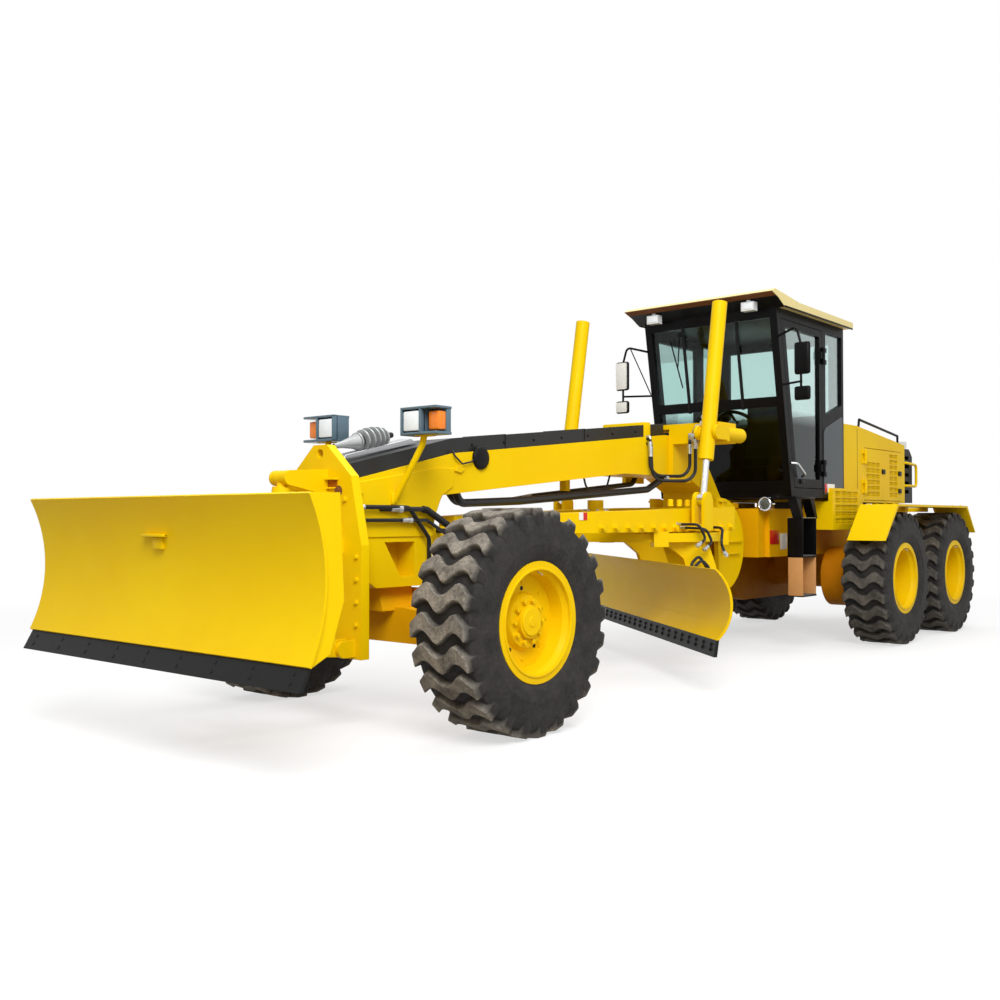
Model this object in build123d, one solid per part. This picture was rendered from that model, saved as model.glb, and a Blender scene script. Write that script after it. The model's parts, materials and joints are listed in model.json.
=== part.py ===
from build123d import *
import os
from math import cos, sin, tan, radians

# Motor grader with a front dozer blade. Millimetres. X runs forward, Y to the machine's left, Z up.
# Stations along X are counted from the front axle, and export() moves everything to the part's frame.

# Overall
FRONT_REACH = 1760      # front axle to the tip of the dozer's cutting edge
REAR_REACH = 8400       # front axle to the back of the fan cowl
WHEELBASE = 6630        # front axle to the middle of the tandem
TANDEM_PITCH = 1524     # between the two wheels of a tandem
FRONT_AXLE_X = (REAR_REACH - FRONT_REACH) / 2
RUNNING = 0.05          # radial clearance of a pin or shaft in its bore
BALL_GAP = 0.3          # radial clearance of a ball in its socket
SLIDE_GAP = 0.3         # between a shoe and what slides or turns in it
HINGE_R = 16            # knuckles of the door hinges
HINGE_PIN_R = 9
HINGE_H = 45            # height of a fixed knuckle
HINGE_OUT = 17          # hinge axis, outside the panel's face
SIDE_GAP = 1.0          # beside an eye between its ears
MOVING_GAP = 6.0        # between a moving piece and what it passes

# Wheels, 17.5-25 tyres on 25-inch rims
TYRE_R = 655
TYRE_HALF_W = 222
WHEEL_Y = 1060
RIM_FLANGE_R = 350
RIM_SEAT_R = 318
RIM_WALL = 14
RIM_HALF_W = 192
TREAD_HALF = 195
TREAD_FLOOR_R = 616     # grooves between the lugs
LUGS = 24
LUG_HALF = 44           # half a lug's length along the tread, at its foot
LUG_VEE = 44            # how far a lug's middle leads its two ends
HUB_R = 150
HUB_CAP_R = 95
SPINDLE_R = 60
# disc's outer face, spindle's end and hub's inner end, outward from the wheel's middle plane
FRONT_HUB = (42, 60, -60)
REAR_HUB = (-40, 0, -140)
AXLE_Z = TYRE_R
REAR_WHEELS = (-WHEELBASE + TANDEM_PITCH / 2, -WHEELBASE - TANDEM_PITCH / 2)

# Front axle, lean brackets and knuckles
AXLE_HALF_X = 95
AXLE_BOTTOM = 470
AXLE_TOP = 690
AXLE_END_Y = 640
LEAN_Y = 720            # lean pivot, across the machine
LEAN_Z = 560
LEAN_PIN_R = 32
LEAN_BAR_Z = 780        # lean bar pins, just above the axle
LEAN_BAR_X = (-142, -104)
KINGPIN_Y = 850
KINGPIN_R = 30
KINGPIN_HALF = 135      # kingpin's half length about the wheel's height
KNUCKLE_HALF = 80
STEER_ARM_X = -240      # ball of the steering arm, behind the kingpin
STEER_ARM_DZ = 38       # ball's height from the wheel's centre
TIE_BALL_R = 28
TIE_STUD_R = 12
TIE_EYE_R = 30           # tie rod's right eye, open round its stud
TIE_ROD_R = 22

# Gooseneck
BEAM_HALF_Y = 220
YOKE_HALF_Y = 350
COVER_HALF_Y = 200
COVER_T = 100
# outline of the gooseneck's side, x and z
NOSE_TOP = (497, 1477)
KNEE_TOP = (-400, 1680)
SADDLE_TOP = (-3050, 1958)
BEAM_REAR_TOP = (-3560, 1945)
GOOSENECK_SIDE = [
    NOSE_TOP, KNEE_TOP, SADDLE_TOP, BEAM_REAR_TOP, (-3720, 1790), (-4010, 1440), (-4010, 700),
    (-3730, 700), (-3730, 1480), (-3430, 1605), (-2430, 1610), (-290, 1400), (-210, 1270),
    (-190, 1180), (-190, 820), (300, 820), (497, 940),
]
YOKE_SIDE_TOP = (-3760, 1430)
YOKE_SIDE_BULGE = (-4190, 1130)
YOKE_SIDE_LOW = (-3960, 620)
YOKE_PLATE_T = 40
YOKE_RIBS = (700, 900, 1130, 1330)   # heights of the ribs
NOSE_HOLE = [(230, 1100), (-30, 1100), (-30, 880), (90, 880)]

# Articulation joint
PIVOT_X = -4300
PIVOT_R = 60
# lugs on the front frame: low, high
PIVOT_LUGS_FRONT = ((760, 840), (1260, 1340))
PIVOT_LUG_R = 120
PIVOT_LUG_GAP = 6

# Lift saddle, yokes and lift cylinders
LIFT_Y = 700
TRUNNION = (-2930, 1950)
TRUNNION_R = 30
LIFT_TILT = 10.4
LIFT_BARREL_R = 62
LIFT_BORE_R = 45
LIFT_ROD_R = 30
LIFT_ABOVE = 1110
LIFT_BELOW = 230
LIFT_ROD_UP = 850
LIFT_EYE_DROP = 559
LIFT_EYE_R = 48
LIFT_EYE_HALF = 30
LIFT_PISTON_H = 80
LIFT_GLAND_H = 90
YOKE_ARM_GAP = 8
YOKE_ARM_T = 30
SADDLE_X = (-3400, -3110)
SADDLE_ARM_Z = (1880, 2010)
SADDLE_BOSS_R = 62
SADDLE_BOSS_X = (-3470, -3105)

# Drawbar, circle, carrier and moldboard
BALL = (-430, 1100)
BALL_R = 60
BALL_NECK_R = 38
CIRCLE_X = -2850
CIRCLE_R = 760
CIRCLE_IN_R = 640
CIRCLE_Z = (1060, 1130)
SHOE_T = 36              # thickness of a shoe below the circle
SHOE_LAP = 30            # how far it reaches in under the circle's edge
DRAWBAR_BOTTOM = 1140
# outline of one half of the drawbar from above, x and y
DRAWBAR_OUT = [(-560, 0), (-560, 70), (-1260, 440), (-1600, 520), (-2300, 600), (-3530, 620), (-3530, 0)]
DRAWBAR_HOLE = [(-1150, 0), (-1300, 250), (-2200, 420), (-3380, 440), (-3380, 0)]
DRAWBAR_TOP_FRONT = 1290
DRAWBAR_TOP_REAR = 1350
BLADE_TURN = -40         # circle's turn in the stored pose, from a blade straight across
BLADE_HALF = 1830
BLADE_X = -92            # blade's edges from the circle's centre, along the blade's normal
BLADE_TOP = 893
BLADE_EDGE_TOP = 400
BLADE_BOTTOM = 283
BLADE_DEPTH = 115
BLADE_T = 20
EDGE_T = 22
EDGE_LEAN = 20           # cutting edge's foot, forward of its top
EDGE_SETBACK = 12        # cutting edge's top, behind the moldboard's top edge
# side shift that puts the stored moldboard's two ends equally far out
BLADE_SPREAD = 2 * BLADE_X - BLADE_DEPTH - BLADE_T - EDGE_SETBACK + EDGE_LEAN
BLADE_SHIFT = BLADE_SPREAD / 2 * tan(radians(-BLADE_TURN))
RAIL_HALF = 1350
RAIL_X = -250
RAILS = ((700, 740, -212), (470, 510, -178))   # slide rails behind the moldboard: low, high, front
ARM_Y = (560, 640)
ARM_FOOT = (-380, 590)               # carrier pivot, x and z
ARM_PIN_R = 30
CIRCLE_TEETH = 60
TOOTH_H = 26
PINION_X = 520           # drive pinion, forward of the circle's centre
# outline of an arm below the circle, x and z
ARM_SIDE = [(-440, 1080), (-60, 1080), (-240, 930), (-330, 640), (-320, 540), (-440, 525), (-530, 565),
            (-545, 700), (-510, 880)]

# Front dozer blade
DOZER_HALF = 1286
DOZER_TOP = (1705, 1367)
DOZER_MID = (1609, 1000)
DOZER_EDGE_TOP = (1702, 579)
DOZER_TIP = (FRONT_REACH, 473)
DOZER_T = 18
DOZER_BACK = 1495
DOZER_EDGE_T = 25
MOUNT_X = (497, 560)
MOUNT_HALF = 372         # clear of a steered and leaning tyre
DOZER_LOW_PIN = (640, 485)
DOZER_HIGH_PIN = (640, 1085)
DOZER_LINK = (860, 75)               # from a pin on the mount to the one on the blade
DOZER_ARM_Y = (235, 290)
DOZER_LINK_Y = (140, 185)
DOZER_PIN_R = 25
DOZER_CYL_TOP = (840, 1485)
DOZER_CYL_FOOT = (1000, 520)
DOZER_CYL_R = 55
DOZER_CYL_BORE = 40
DOZER_ROD_R = 27
DOZER_PISTON = (-350, -290)          # from the cylinder's upper pin
LIFTING_EYE = (1640, 28)             # height and radius of the hole in the mount's crown

# Cab
CAB_HALF = 700
CAB_WALL = 50
CAB_BOTTOM = 1444
CAB_TOP = 3170
CAB_FRONT_LOW = -4480
CAB_FRONT_HIGH = -4170
CAB_REAR = -5690
ROOF_HALF = 780
ROOF_T = 60
VISOR_X = -3930          # visor's front edge
VISOR_RISE = 95          # its height above the cab's walls
DOOR_REAR_X = -5170
STEERING_R = 185

# Hood, tanks and fenders
HOOD_HALF = 600
HOOD_WALL = 40
HOOD_FRONT = -5740
HOOD_REAR = -7700
HOOD_BOTTOM = 1420
HOOD_KNEE = (-6290, 2230)
HOOD_REAR_TOP = 2095
FENDER_Y = (937, 1308)
FENDER_TOP = 1385
FENDER_T = 22
FENDER_X = (REAR_WHEELS[0] + 358, REAR_WHEELS[1] - 268)
FENDER_LOW = (REAR_WHEELS[0] + 698, 1035)
FENDER_TAIL = (REAR_WHEELS[1] - 553, 1085)

# Rear frame, hitch and tandems
RAIL_Y = (320, 440)
FRAME_Z = (880, 1340)
FRAME_FRONT = -4400
FRAME_REAR = -8250
HITCH = (-8330, 830, 25)    # towing hole: station, middle height, radius
HITCH_T = 50
TANDEM_Y = (500, 735)
TANDEM_END_R = 300
AXLE_TUBE_R = 170


def box(x0, x1, y0, y1, z0, z1):
    size = Box(abs(x1 - x0), abs(y1 - y0), abs(z1 - z0))
    return Pos((x0 + x1) / 2, (y0 + y1) / 2, (z0 + z1) / 2) * size


def side(points, y0, y1):
    """A profile of (x, z) points, solid from y0 to y1."""
    face = make_face(Polyline(*points, close=True))
    return Pos(0, max(y0, y1), 0) * extrude(Plane.XZ * face, abs(y1 - y0))


def flat(points, z0, z1):
    """An outline of (x, y) points, solid from z0 to z1."""
    return Pos(0, 0, min(z0, z1)) * extrude(make_face(Polyline(*points, close=True)), abs(z1 - z0))


def across(points, x0, x1):
    """A section of (y, z) points, solid from x0 to x1."""
    face = Plane.YZ * make_face(Polyline(*points, close=True))
    return Pos(min(x0, x1), 0, 0) * extrude(face, abs(x1 - x0))


def bar(start, end, radius):
    """A round bar between two points."""
    a = Vector(*start)
    b = Vector(*end)
    return Solid.make_cylinder(radius, (b - a).length, Plane(origin=a, z_dir=b - a))


def pin_y(x, z, radius, y0, y1):
    return bar((x, y0, z), (x, y1, z), radius)


def pin_x(y, z, radius, x0, x1):
    return bar((x0, y, z), (x1, y, z), radius)


def pin_z(x, y, radius, z0, z1):
    return bar((x, y, z0), (x, y, z1), radius)


def other_side(shape):
    return mirror(shape, about=Plane.XZ)


def both(shape):
    return shape + other_side(shape)


def knuckle_and_leaf(x, face, reach, z0, z1):
    """Knuckle of an upright hinge and its leaf, which lies on the panel's outer face."""
    return pin_z(x, face + HINGE_OUT, HINGE_R, z0, z1) + box(x, x + reach, face, face + HINGE_OUT, z0, z1)


def moving_knuckle(panel, x, face, reach, z0, z1):
    hinged = panel + knuckle_and_leaf(x, face, reach, z0, z1)
    return hinged - pin_z(x, face + HINGE_OUT, HINGE_PIN_R + RUNNING, z0 - 5, z1 + 5)


def fixed_knuckles(x, face, reach, z0, z1):
    """The two fixed knuckles above and below a moving one, with the pin."""
    pin = pin_z(x, face + HINGE_OUT, HINGE_PIN_R, z0 - HINGE_H, z1 + HINGE_H)
    low = knuckle_and_leaf(x, face, reach, z0 - HINGE_H, z0 - SIDE_GAP)
    return pin + low + knuckle_and_leaf(x, face, reach, z1 + SIDE_GAP, z1 + HINGE_H)


def bend_radii(points, bend):
    """Radius at each corner of a hose: the wanted bend, or what the shorter run beside it allows."""
    spots = [Vector(*point) for point in points]
    radii = []
    for before, corner, after in zip(spots, spots[1:], spots[2:]):
        run_in, run_out = corner - before, after - corner
        half_turn = radians(run_in.get_angle(run_out) / 2)
        radii.append(min(bend, 0.45 * min(run_in.length, run_out.length) / tan(half_turn)))
    return radii


def hose(points, radius, bend):
    """Hose along straight runs joined by arcs."""
    path = FilletPolyline(*points, radius=bend_radii(points, bend))
    section = Plane(origin=path @ 0, z_dir=path % 0) * Circle(radius)
    return sweep(section, path)


def export(name, shape):
    placed = Pos(FRONT_AXLE_X, 0, 0) * shape
    export_step(placed, f"parts/{name}.step")


# Wheels

def tyre():
    """Tyre about the Y axis, with V-shaped lugs on flats around the tread."""
    seat = RIM_HALF_W - RIM_WALL
    half = [(seat, RIM_SEAT_R), (seat, RIM_FLANGE_R), (TYRE_HALF_W, 480), (TREAD_HALF, 590)]
    points = half + [(-w, r) for w, r in reversed(half)]
    casing = Rot(0, 0, 90) * revolve(make_face(Polyline(*points, close=True)), Axis.X)
    flats = extrude(Plane.XZ * RegularPolygon(TREAD_FLOOR_R, LUGS), TREAD_HALF, both=True)
    band = flats - pin_y(0, 0, 560, -TREAD_HALF, TREAD_HALF)
    block = lug()
    return casing + band + [Rot(0, turn * 360 / LUGS, 0) * block for turn in range(LUGS)]


def lug():
    """One lug at the top of the tyre."""
    near, far = LUG_HALF - LUG_VEE / 2, LUG_HALF + LUG_VEE / 2
    outline = [(near, -TREAD_HALF), (far, 0), (near, TREAD_HALF),
               (-far, TREAD_HALF), (-near, 0), (-far, -TREAD_HALF)]
    foot = TREAD_FLOOR_R - 10
    return Pos(0, 0, foot) * extrude(make_face(Polyline(*outline, close=True)), TYRE_R - foot)


def rim(outward, hub):
    """Rim, disc and hub about the Y axis; outward is 1 for a wheel on the left."""
    disc, end, inner_end = hub
    seat = RIM_HALF_W - RIM_WALL
    inner = RIM_SEAT_R - RIM_WALL
    profile = [
        (-RIM_HALF_W, inner), (-RIM_HALF_W, RIM_FLANGE_R), (-seat, RIM_FLANGE_R), (-seat, RIM_SEAT_R),
        (seat, RIM_SEAT_R), (seat, RIM_FLANGE_R), (RIM_HALF_W, RIM_FLANGE_R), (RIM_HALF_W, inner + 4),
        (RIM_HALF_W - 50, inner - 22), (disc + 20, inner - 30), (disc + 20, HUB_R + 20), (disc + 60, HUB_R),
        (disc + 60, HUB_CAP_R), (disc + 90, HUB_CAP_R), (disc + 90, 0), (end + 5, 0),
        (end + 5, SPINDLE_R + RUNNING), (inner_end, SPINDLE_R + RUNNING), (inner_end, HUB_R),
        (disc, HUB_R), (disc, inner),
    ]
    face = make_face(Polyline(*profile, close=True))
    turned = Rot(0, 0, 90) * revolve(face, Axis.X)
    return turned if outward > 0 else other_side(turned)


def wheels():
    # name, station, side, hub
    places = [("front_left", 0, 1, FRONT_HUB), ("front_right", 0, -1, FRONT_HUB)]
    for row, x in zip(("mid", "rear"), REAR_WHEELS):
        places += [(f"{row}_left", x, 1, REAR_HUB), (f"{row}_right", x, -1, REAR_HUB)]
    rubber = tyre()
    for name, x, hand, hub in places:
        spot = Pos(x, hand * WHEEL_Y, AXLE_Z)
        export(f"tyre_{name}", spot * rubber)
        export(f"rim_{name}", spot * rim(hand, hub))


# Front axle

def front_axle():
    beam = across([
        (-AXLE_END_Y, 500), (-AXLE_END_Y, 620), (-450, 670), (-250, AXLE_TOP), (250, AXLE_TOP),
        (450, 670), (AXLE_END_Y, 620), (AXLE_END_Y, 500), (400, AXLE_BOTTOM), (-400, AXLE_BOTTOM),
    ], -AXLE_HALF_X, AXLE_HALF_X)
    boss = across([(-170, AXLE_TOP - 20), (-130, 820), (130, 820), (170, AXLE_TOP - 20)], -90, 200)
    # two ears at each end take the lean bracket's pin
    ears = Part()
    for x0, x1 in ((-AXLE_HALF_X, -55), (55, AXLE_HALF_X)):
        ears += box(x0, x1, AXLE_END_Y - 5, LEAN_Y, LEAN_Z - 60, LEAN_Z + 60)
        ears += pin_x(LEAN_Y, LEAN_Z, 60, x0, x1)
    ears = both(ears)
    pins = both(pin_x(LEAN_Y, LEAN_Z, LEAN_PIN_R, -AXLE_HALF_X, AXLE_HALF_X))
    return beam + boss + ears + pins


def lean_bracket():
    """Bracket on the left, from the lean pin out to the kingpin."""
    gap = 55 - SIDE_GAP
    eye = pin_x(LEAN_Y, LEAN_Z, 62, -gap, gap)
    web = box(-45, 45, LEAN_Y - 25, LEAN_Y + 28, LEAN_Z, LEAN_BAR_Z)
    low = box(-45, 45, LEAN_Y, KINGPIN_Y, AXLE_Z - KINGPIN_HALF, AXLE_Z - KNUCKLE_HALF - 2)
    high = box(-45, 45, LEAN_Y, KINGPIN_Y, AXLE_Z + KNUCKLE_HALF + 2, AXLE_Z + KINGPIN_HALF)
    ends = pin_z(0, KINGPIN_Y, 45, AXLE_Z - KINGPIN_HALF, AXLE_Z - KNUCKLE_HALF - 2)
    ends += pin_z(0, KINGPIN_Y, 45, AXLE_Z + KNUCKLE_HALF + 2, AXLE_Z + KINGPIN_HALF)
    kingpin = pin_z(0, KINGPIN_Y, KINGPIN_R, AXLE_Z - KINGPIN_HALF, AXLE_Z + KINGPIN_HALF)
    solid = eye + web + low + high + ends + kingpin
    solid -= pin_x(LEAN_Y, LEAN_Z, LEAN_PIN_R + RUNNING, -200, 200)
    solid += pin_x(LEAN_Y, LEAN_BAR_Z, 35, LEAN_BAR_X[1] + SIDE_GAP, 45)
    solid += pin_x(LEAN_Y, LEAN_BAR_Z, 20, LEAN_BAR_X[0], 0)
    return solid


def lean_bar():
    x0, x1 = LEAN_BAR_X
    web = box(x0 + 5, x1 - 5, -LEAN_Y, LEAN_Y, LEAN_BAR_Z - 22, LEAN_BAR_Z + 22)
    eyes = both(pin_x(LEAN_Y, LEAN_BAR_Z, 36, x0, x1))
    return web + eyes - both(pin_x(LEAN_Y, LEAN_BAR_Z, 20 + RUNNING, x0 - 50, x1 + 50))


def knuckle():
    """Steering knuckle on the left, with spindle, steering arm and ball stud."""
    body = pin_z(0, KINGPIN_Y, 62, AXLE_Z - KNUCKLE_HALF, AXLE_Z + KNUCKLE_HALF)
    disc, end, inner_end = FRONT_HUB
    spindle = pin_y(0, AXLE_Z, SPINDLE_R, KINGPIN_Y, WHEEL_Y + end)
    shoulder = pin_y(0, AXLE_Z, 72, KINGPIN_Y, WHEEL_Y + inner_end - 2)
    ball_z = AXLE_Z + STEER_ARM_DZ
    arm = flat([(0, KINGPIN_Y - 40), (0, KINGPIN_Y + 40), (STEER_ARM_X, KINGPIN_Y + 22),
                (STEER_ARM_X, KINGPIN_Y - 22)], ball_z - 65, ball_z - 38)
    arm += pin_z(STEER_ARM_X, KINGPIN_Y, 24, ball_z - 65, ball_z - 38)
    stud = pin_z(STEER_ARM_X, KINGPIN_Y, TIE_STUD_R, ball_z - 40, ball_z + 30)
    solid = body + spindle + shoulder + arm + stud
    return solid - pin_z(0, KINGPIN_Y, KINGPIN_R + RUNNING, AXLE_Z - 300, AXLE_Z + 300)


def tie_ball():
    place = Pos(STEER_ARM_X, KINGPIN_Y, AXLE_Z + STEER_ARM_DZ)
    return place * (Sphere(TIE_BALL_R) - Cylinder(TIE_STUD_R + RUNNING, 3 * TIE_BALL_R))


def tie_rod():
    """Tie rod with its ball socket on the left and an open eye on the right."""
    z = AXLE_Z + STEER_ARM_DZ
    rod = bar((STEER_ARM_X, -KINGPIN_Y + 38, z), (STEER_ARM_X, KINGPIN_Y - 38, z), TIE_ROD_R)
    end = Cylinder(42, 28)
    socket = Pos(STEER_ARM_X, KINGPIN_Y, z) * (end - Sphere(TIE_BALL_R + BALL_GAP))
    eye = Pos(STEER_ARM_X, -KINGPIN_Y, z) * (end - Cylinder(TIE_EYE_R, 100))
    return rod + socket + eye


# Front frame

def gooseneck():
    beam = side(GOOSENECK_SIDE, -BEAM_HALF_Y, BEAM_HALF_Y)
    beam -= side(NOSE_HOLE, -BEAM_HALF_Y - 50, -60) + side(NOSE_HOLE, 60, BEAM_HALF_Y + 50)
    edge = ThreePointArc(YOKE_SIDE_TOP, YOKE_SIDE_BULGE, YOKE_SIDE_LOW)
    closing = Polyline(YOKE_SIDE_LOW, (-3750, 620), (-3700, 1430), YOKE_SIDE_TOP)
    plate = Pos(0, YOKE_HALF_Y, 0) * extrude(Plane.XZ * make_face(edge + closing), YOKE_PLATE_T)
    ribs = Part()
    for z in YOKE_RIBS:
        ribs += box(-4060, -3760, BEAM_HALF_Y, YOKE_HALF_Y - YOKE_PLATE_T, z - 12, z + 12)
    solid = beam + both(plate + ribs)
    for low, high in PIVOT_LUGS_FRONT:
        solid += box(-3990, PIVOT_X, -PIVOT_LUG_R, PIVOT_LUG_R, low, high)
        solid += pin_z(PIVOT_X, 0, PIVOT_LUG_R, low, high)
    solid -= pin_z(PIVOT_X, 0, PIVOT_R + RUNNING, 0, 2000)
    return solid + drawbar_socket()


def drawbar_socket():
    block = box(BALL[0] - 20, -185, -95, 95, BALL[1] - 95, BALL[1] + 95)
    cavity = Pos(BALL[0], 0, BALL[1]) * Sphere(BALL_R + BALL_GAP)
    return block - cavity


def beam_cover():
    top = [NOSE_TOP, KNEE_TOP, SADDLE_TOP]
    raised = [(x, z + COVER_T) for x, z in reversed(top)]
    return side(top + raised, -COVER_HALF_Y, COVER_HALF_Y)


def lift_saddle():
    x0, x1 = SADDLE_X
    low, high = SADDLE_ARM_Z
    cheeks = both(box(x0, x1, BEAM_HALF_Y, BEAM_HALF_Y + 40, 1560, high))
    top = box(x0, x1, -LIFT_Y, LIFT_Y, high - 40 + 40, high + 40)
    arms = both(box(x0, x1, BEAM_HALF_Y, LIFT_Y, low, high))
    bosses = both(pin_x(LIFT_Y, TRUNNION[1], SADDLE_BOSS_R, *SADDLE_BOSS_X))
    return cheeks + top + arms + bosses + both(yoke())


def yoke():
    """Fork that holds the left lift cylinder by its trunnions."""
    x, z = TRUNNION
    inner = LIFT_BARREL_R + YOKE_ARM_GAP
    outer = inner + YOKE_ARM_T
    back = box(SADDLE_BOSS_X[1], SADDLE_BOSS_X[1] + 40, LIFT_Y - outer, LIFT_Y + outer, z - 70, z + 70)
    fork = Part()
    for y0, y1 in ((LIFT_Y - outer, LIFT_Y - inner), (LIFT_Y + inner, LIFT_Y + outer)):
        fork += box(SADDLE_BOSS_X[1] + 20, x, y0, y1, z - 60, z + 60) + pin_y(x, z, 60, y0, y1)
        fork -= pin_y(x, z, TRUNNION_R + RUNNING, y0 - 5, y1 + 5)
    return back + fork


def tilted(shape):
    """Move a piece drawn about the trunnion, upright, to the left lift cylinder's place."""
    return Pos(TRUNNION[0], LIFT_Y, TRUNNION[1]) * Rot(0, -LIFT_TILT, 0) * shape


def lift_barrel():
    tube = pin_z(0, 0, LIFT_BARREL_R, -LIFT_BELOW, LIFT_ABOVE)
    tube -= pin_z(0, 0, LIFT_BORE_R, -LIFT_BELOW + LIFT_GLAND_H, LIFT_ABOVE - 60)
    tube -= pin_z(0, 0, LIFT_ROD_R + RUNNING, -LIFT_BELOW - 10, 0)
    reach = LIFT_BARREL_R + YOKE_ARM_GAP + YOKE_ARM_T
    for hand in (-1, 1):
        tube += bar((0, hand * (LIFT_BORE_R + 8), 0), (0, hand * reach, 0), TRUNNION_R)
        tube += bar((0, hand * (LIFT_BORE_R + 8), 0), (0, hand * (LIFT_BARREL_R + YOKE_ARM_GAP - 1), 0), 44)
    return tilted(tube)


def lift_rod():
    rod = pin_z(0, 0, LIFT_ROD_R, -LIFT_EYE_DROP + 20, LIFT_ROD_UP)
    rod += pin_z(0, 0, LIFT_BORE_R - RUNNING, LIFT_ROD_UP - LIFT_PISTON_H, LIFT_ROD_UP)
    eye = bar((0, -LIFT_EYE_HALF, -LIFT_EYE_DROP), (0, LIFT_EYE_HALF, -LIFT_EYE_DROP), LIFT_EYE_R)
    return tilted(rod + eye)


def lift_eye():
    """Where the lift cylinder's eye lies, x and z."""
    turn = radians(LIFT_TILT)
    return TRUNNION[0] + LIFT_EYE_DROP * sin(turn), TRUNNION[1] - LIFT_EYE_DROP * cos(turn)


# Drawbar and circle

def drawbar():
    outline = DRAWBAR_OUT
    slab = both(flat(outline, DRAWBAR_BOTTOM, DRAWBAR_TOP_REAR))
    slab -= both(flat(DRAWBAR_HOLE, 0, 2000))
    slope = [(-3700, DRAWBAR_TOP_REAR), (-400, DRAWBAR_TOP_REAR), (-400, DRAWBAR_TOP_FRONT - 30)]
    slab -= side(slope, -900, 900)
    neck = bar((BALL[0] - 30, 0, BALL[1] + 5), (-700, 0, DRAWBAR_BOTTOM + 60), BALL_NECK_R)
    ball = Pos(BALL[0], 0, BALL[1]) * Sphere(BALL_R)
    eye_x, eye_z = lift_eye()
    ears = Part()
    inner = LIFT_EYE_HALF + SIDE_GAP
    for y0, y1 in ((LIFT_Y - inner - 28, LIFT_Y - inner), (LIFT_Y + inner, LIFT_Y + inner + 28)):
        ears += box(eye_x - 70, eye_x + 70, y0, y1, DRAWBAR_BOTTOM + 30, eye_z)
        ears += pin_y(eye_x, eye_z, 60, y0, y1)
    foot = box(eye_x - 70, eye_x + 70, 560, LIFT_Y + inner + 28, DRAWBAR_BOTTOM + 10, DRAWBAR_BOTTOM + 60)
    return slab + neck + ball + both(ears + foot) + circle_shoes() + circle_drive()


def circle_shoes():
    """Shoes that hold the circle up from below, and the pads it turns against."""
    low, high = CIRCLE_Z
    shoes = Part()
    # turn of the shoe about the circle's centre
    for turn in (50, -50, 130, -130):
        hook = box(CIRCLE_R - SHOE_LAP, CIRCLE_R + 60, -60, 60, low - SHOE_T, low - SLIDE_GAP)
        hook += box(CIRCLE_R + SLIDE_GAP, CIRCLE_R + 60, -60, 60, low - SHOE_T, high + 15)
        hook += box(CIRCLE_R - 50, CIRCLE_R + 60, -60, 60, high + SLIDE_GAP, high + 15)
        shoes += Pos(CIRCLE_X, 0, 0) * Rot(0, 0, turn) * hook
    return shoes


def turned(shape):
    """Turn a piece drawn for a blade straight across to the stored blade angle."""
    return Pos(CIRCLE_X, 0, 0) * Rot(0, 0, BLADE_TURN) * shape


def toothed_bore():
    """Outline of the circle's inside, with teeth that point inward."""
    points = []
    for tooth in range(CIRCLE_TEETH):
        # share of the pitch, radius
        for share, radius in ((0, 0), (0.4, 0), (0.55, TOOTH_H), (0.85, TOOTH_H)):
            turn = radians((tooth + share) * 360 / CIRCLE_TEETH)
            r = CIRCLE_IN_R - radius
            points.append((r * cos(turn), r * sin(turn)))
    return points


def circle():
    low, high = CIRCLE_Z
    ring = pin_z(0, 0, CIRCLE_R, low, high) - flat(toothed_bore(), low - 10, high + 10)
    x, z = ARM_FOOT
    arm = side(ARM_SIDE, *ARM_Y)
    arm -= pin_y(x, z, ARM_PIN_R + RUNNING, 0, 1000)
    # the shoes pass outside the arms' heads
    shoe_path = pin_z(0, 0, 2 * CIRCLE_R, low - SHOE_T - MOVING_GAP, high)
    shoe_path -= pin_z(0, 0, CIRCLE_R - SHOE_LAP - MOVING_GAP, 0, 2 * low)
    return turned(ring + (both(arm) - shoe_path))


def circle_drive():
    """Gearbox and motor on a bridge across the drawbar, with the pinion inside the circle."""
    low, high = CIRCLE_Z
    x = CIRCLE_X + PINION_X
    pinion = pin_z(x, 0, CIRCLE_IN_R - TOOTH_H - MOVING_GAP - PINION_X, low + 5, high - 5)
    shaft = pin_z(x, 0, 45, low + 5, DRAWBAR_BOTTOM + 5)
    bridge = box(x - 130, x + 130, -435, 435, DRAWBAR_BOTTOM, DRAWBAR_BOTTOM + 40)
    gears = pin_z(x, 0, 120, DRAWBAR_BOTTOM + 30, 1310)
    return pinion + shaft + bridge + gears + pin_z(x, 0, 65, 1300, 1395)


def carrier():
    """Frame behind the moldboard; it pitches on the circle's arms and holds the slide rails."""
    x, z = ARM_FOOT
    reach = ARM_Y[0] - SIDE_GAP
    tube = pin_y(x, z, 45, -reach, reach)
    tube += pin_y(x, z, ARM_PIN_R, -ARM_Y[1], ARM_Y[1])
    brackets = Part()
    for y0, y1 in ((380, 500), (-500, -380)):
        brackets += side([(x - 30, z - 40), (x - 30, z + 40), (RAIL_X - 12, 790), (RAIL_X - SLIDE_GAP, 790),
                          (RAIL_X - SLIDE_GAP, 430), (RAIL_X - 12, 430)], y0, y1)
        for low, high, front in RAILS:
            brackets += box(RAIL_X - 6, RAIL_X + 12, y0, y1, high + SLIDE_GAP, high + 22)
            brackets += box(RAIL_X - 6, RAIL_X + 12, y0, y1, low - 22, low - SLIDE_GAP)
    return turned(tube + brackets)


def blade_arc(offset):
    """Arc of the moldboard's face, or of its back when offset is the plate's thickness."""
    mid = ((BLADE_TOP + BLADE_EDGE_TOP) / 2)
    top = (BLADE_X - offset, BLADE_TOP)
    back = (BLADE_X - BLADE_DEPTH - offset, mid)
    foot = (BLADE_X - EDGE_SETBACK - offset, BLADE_EDGE_TOP)
    return top, back, foot


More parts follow.
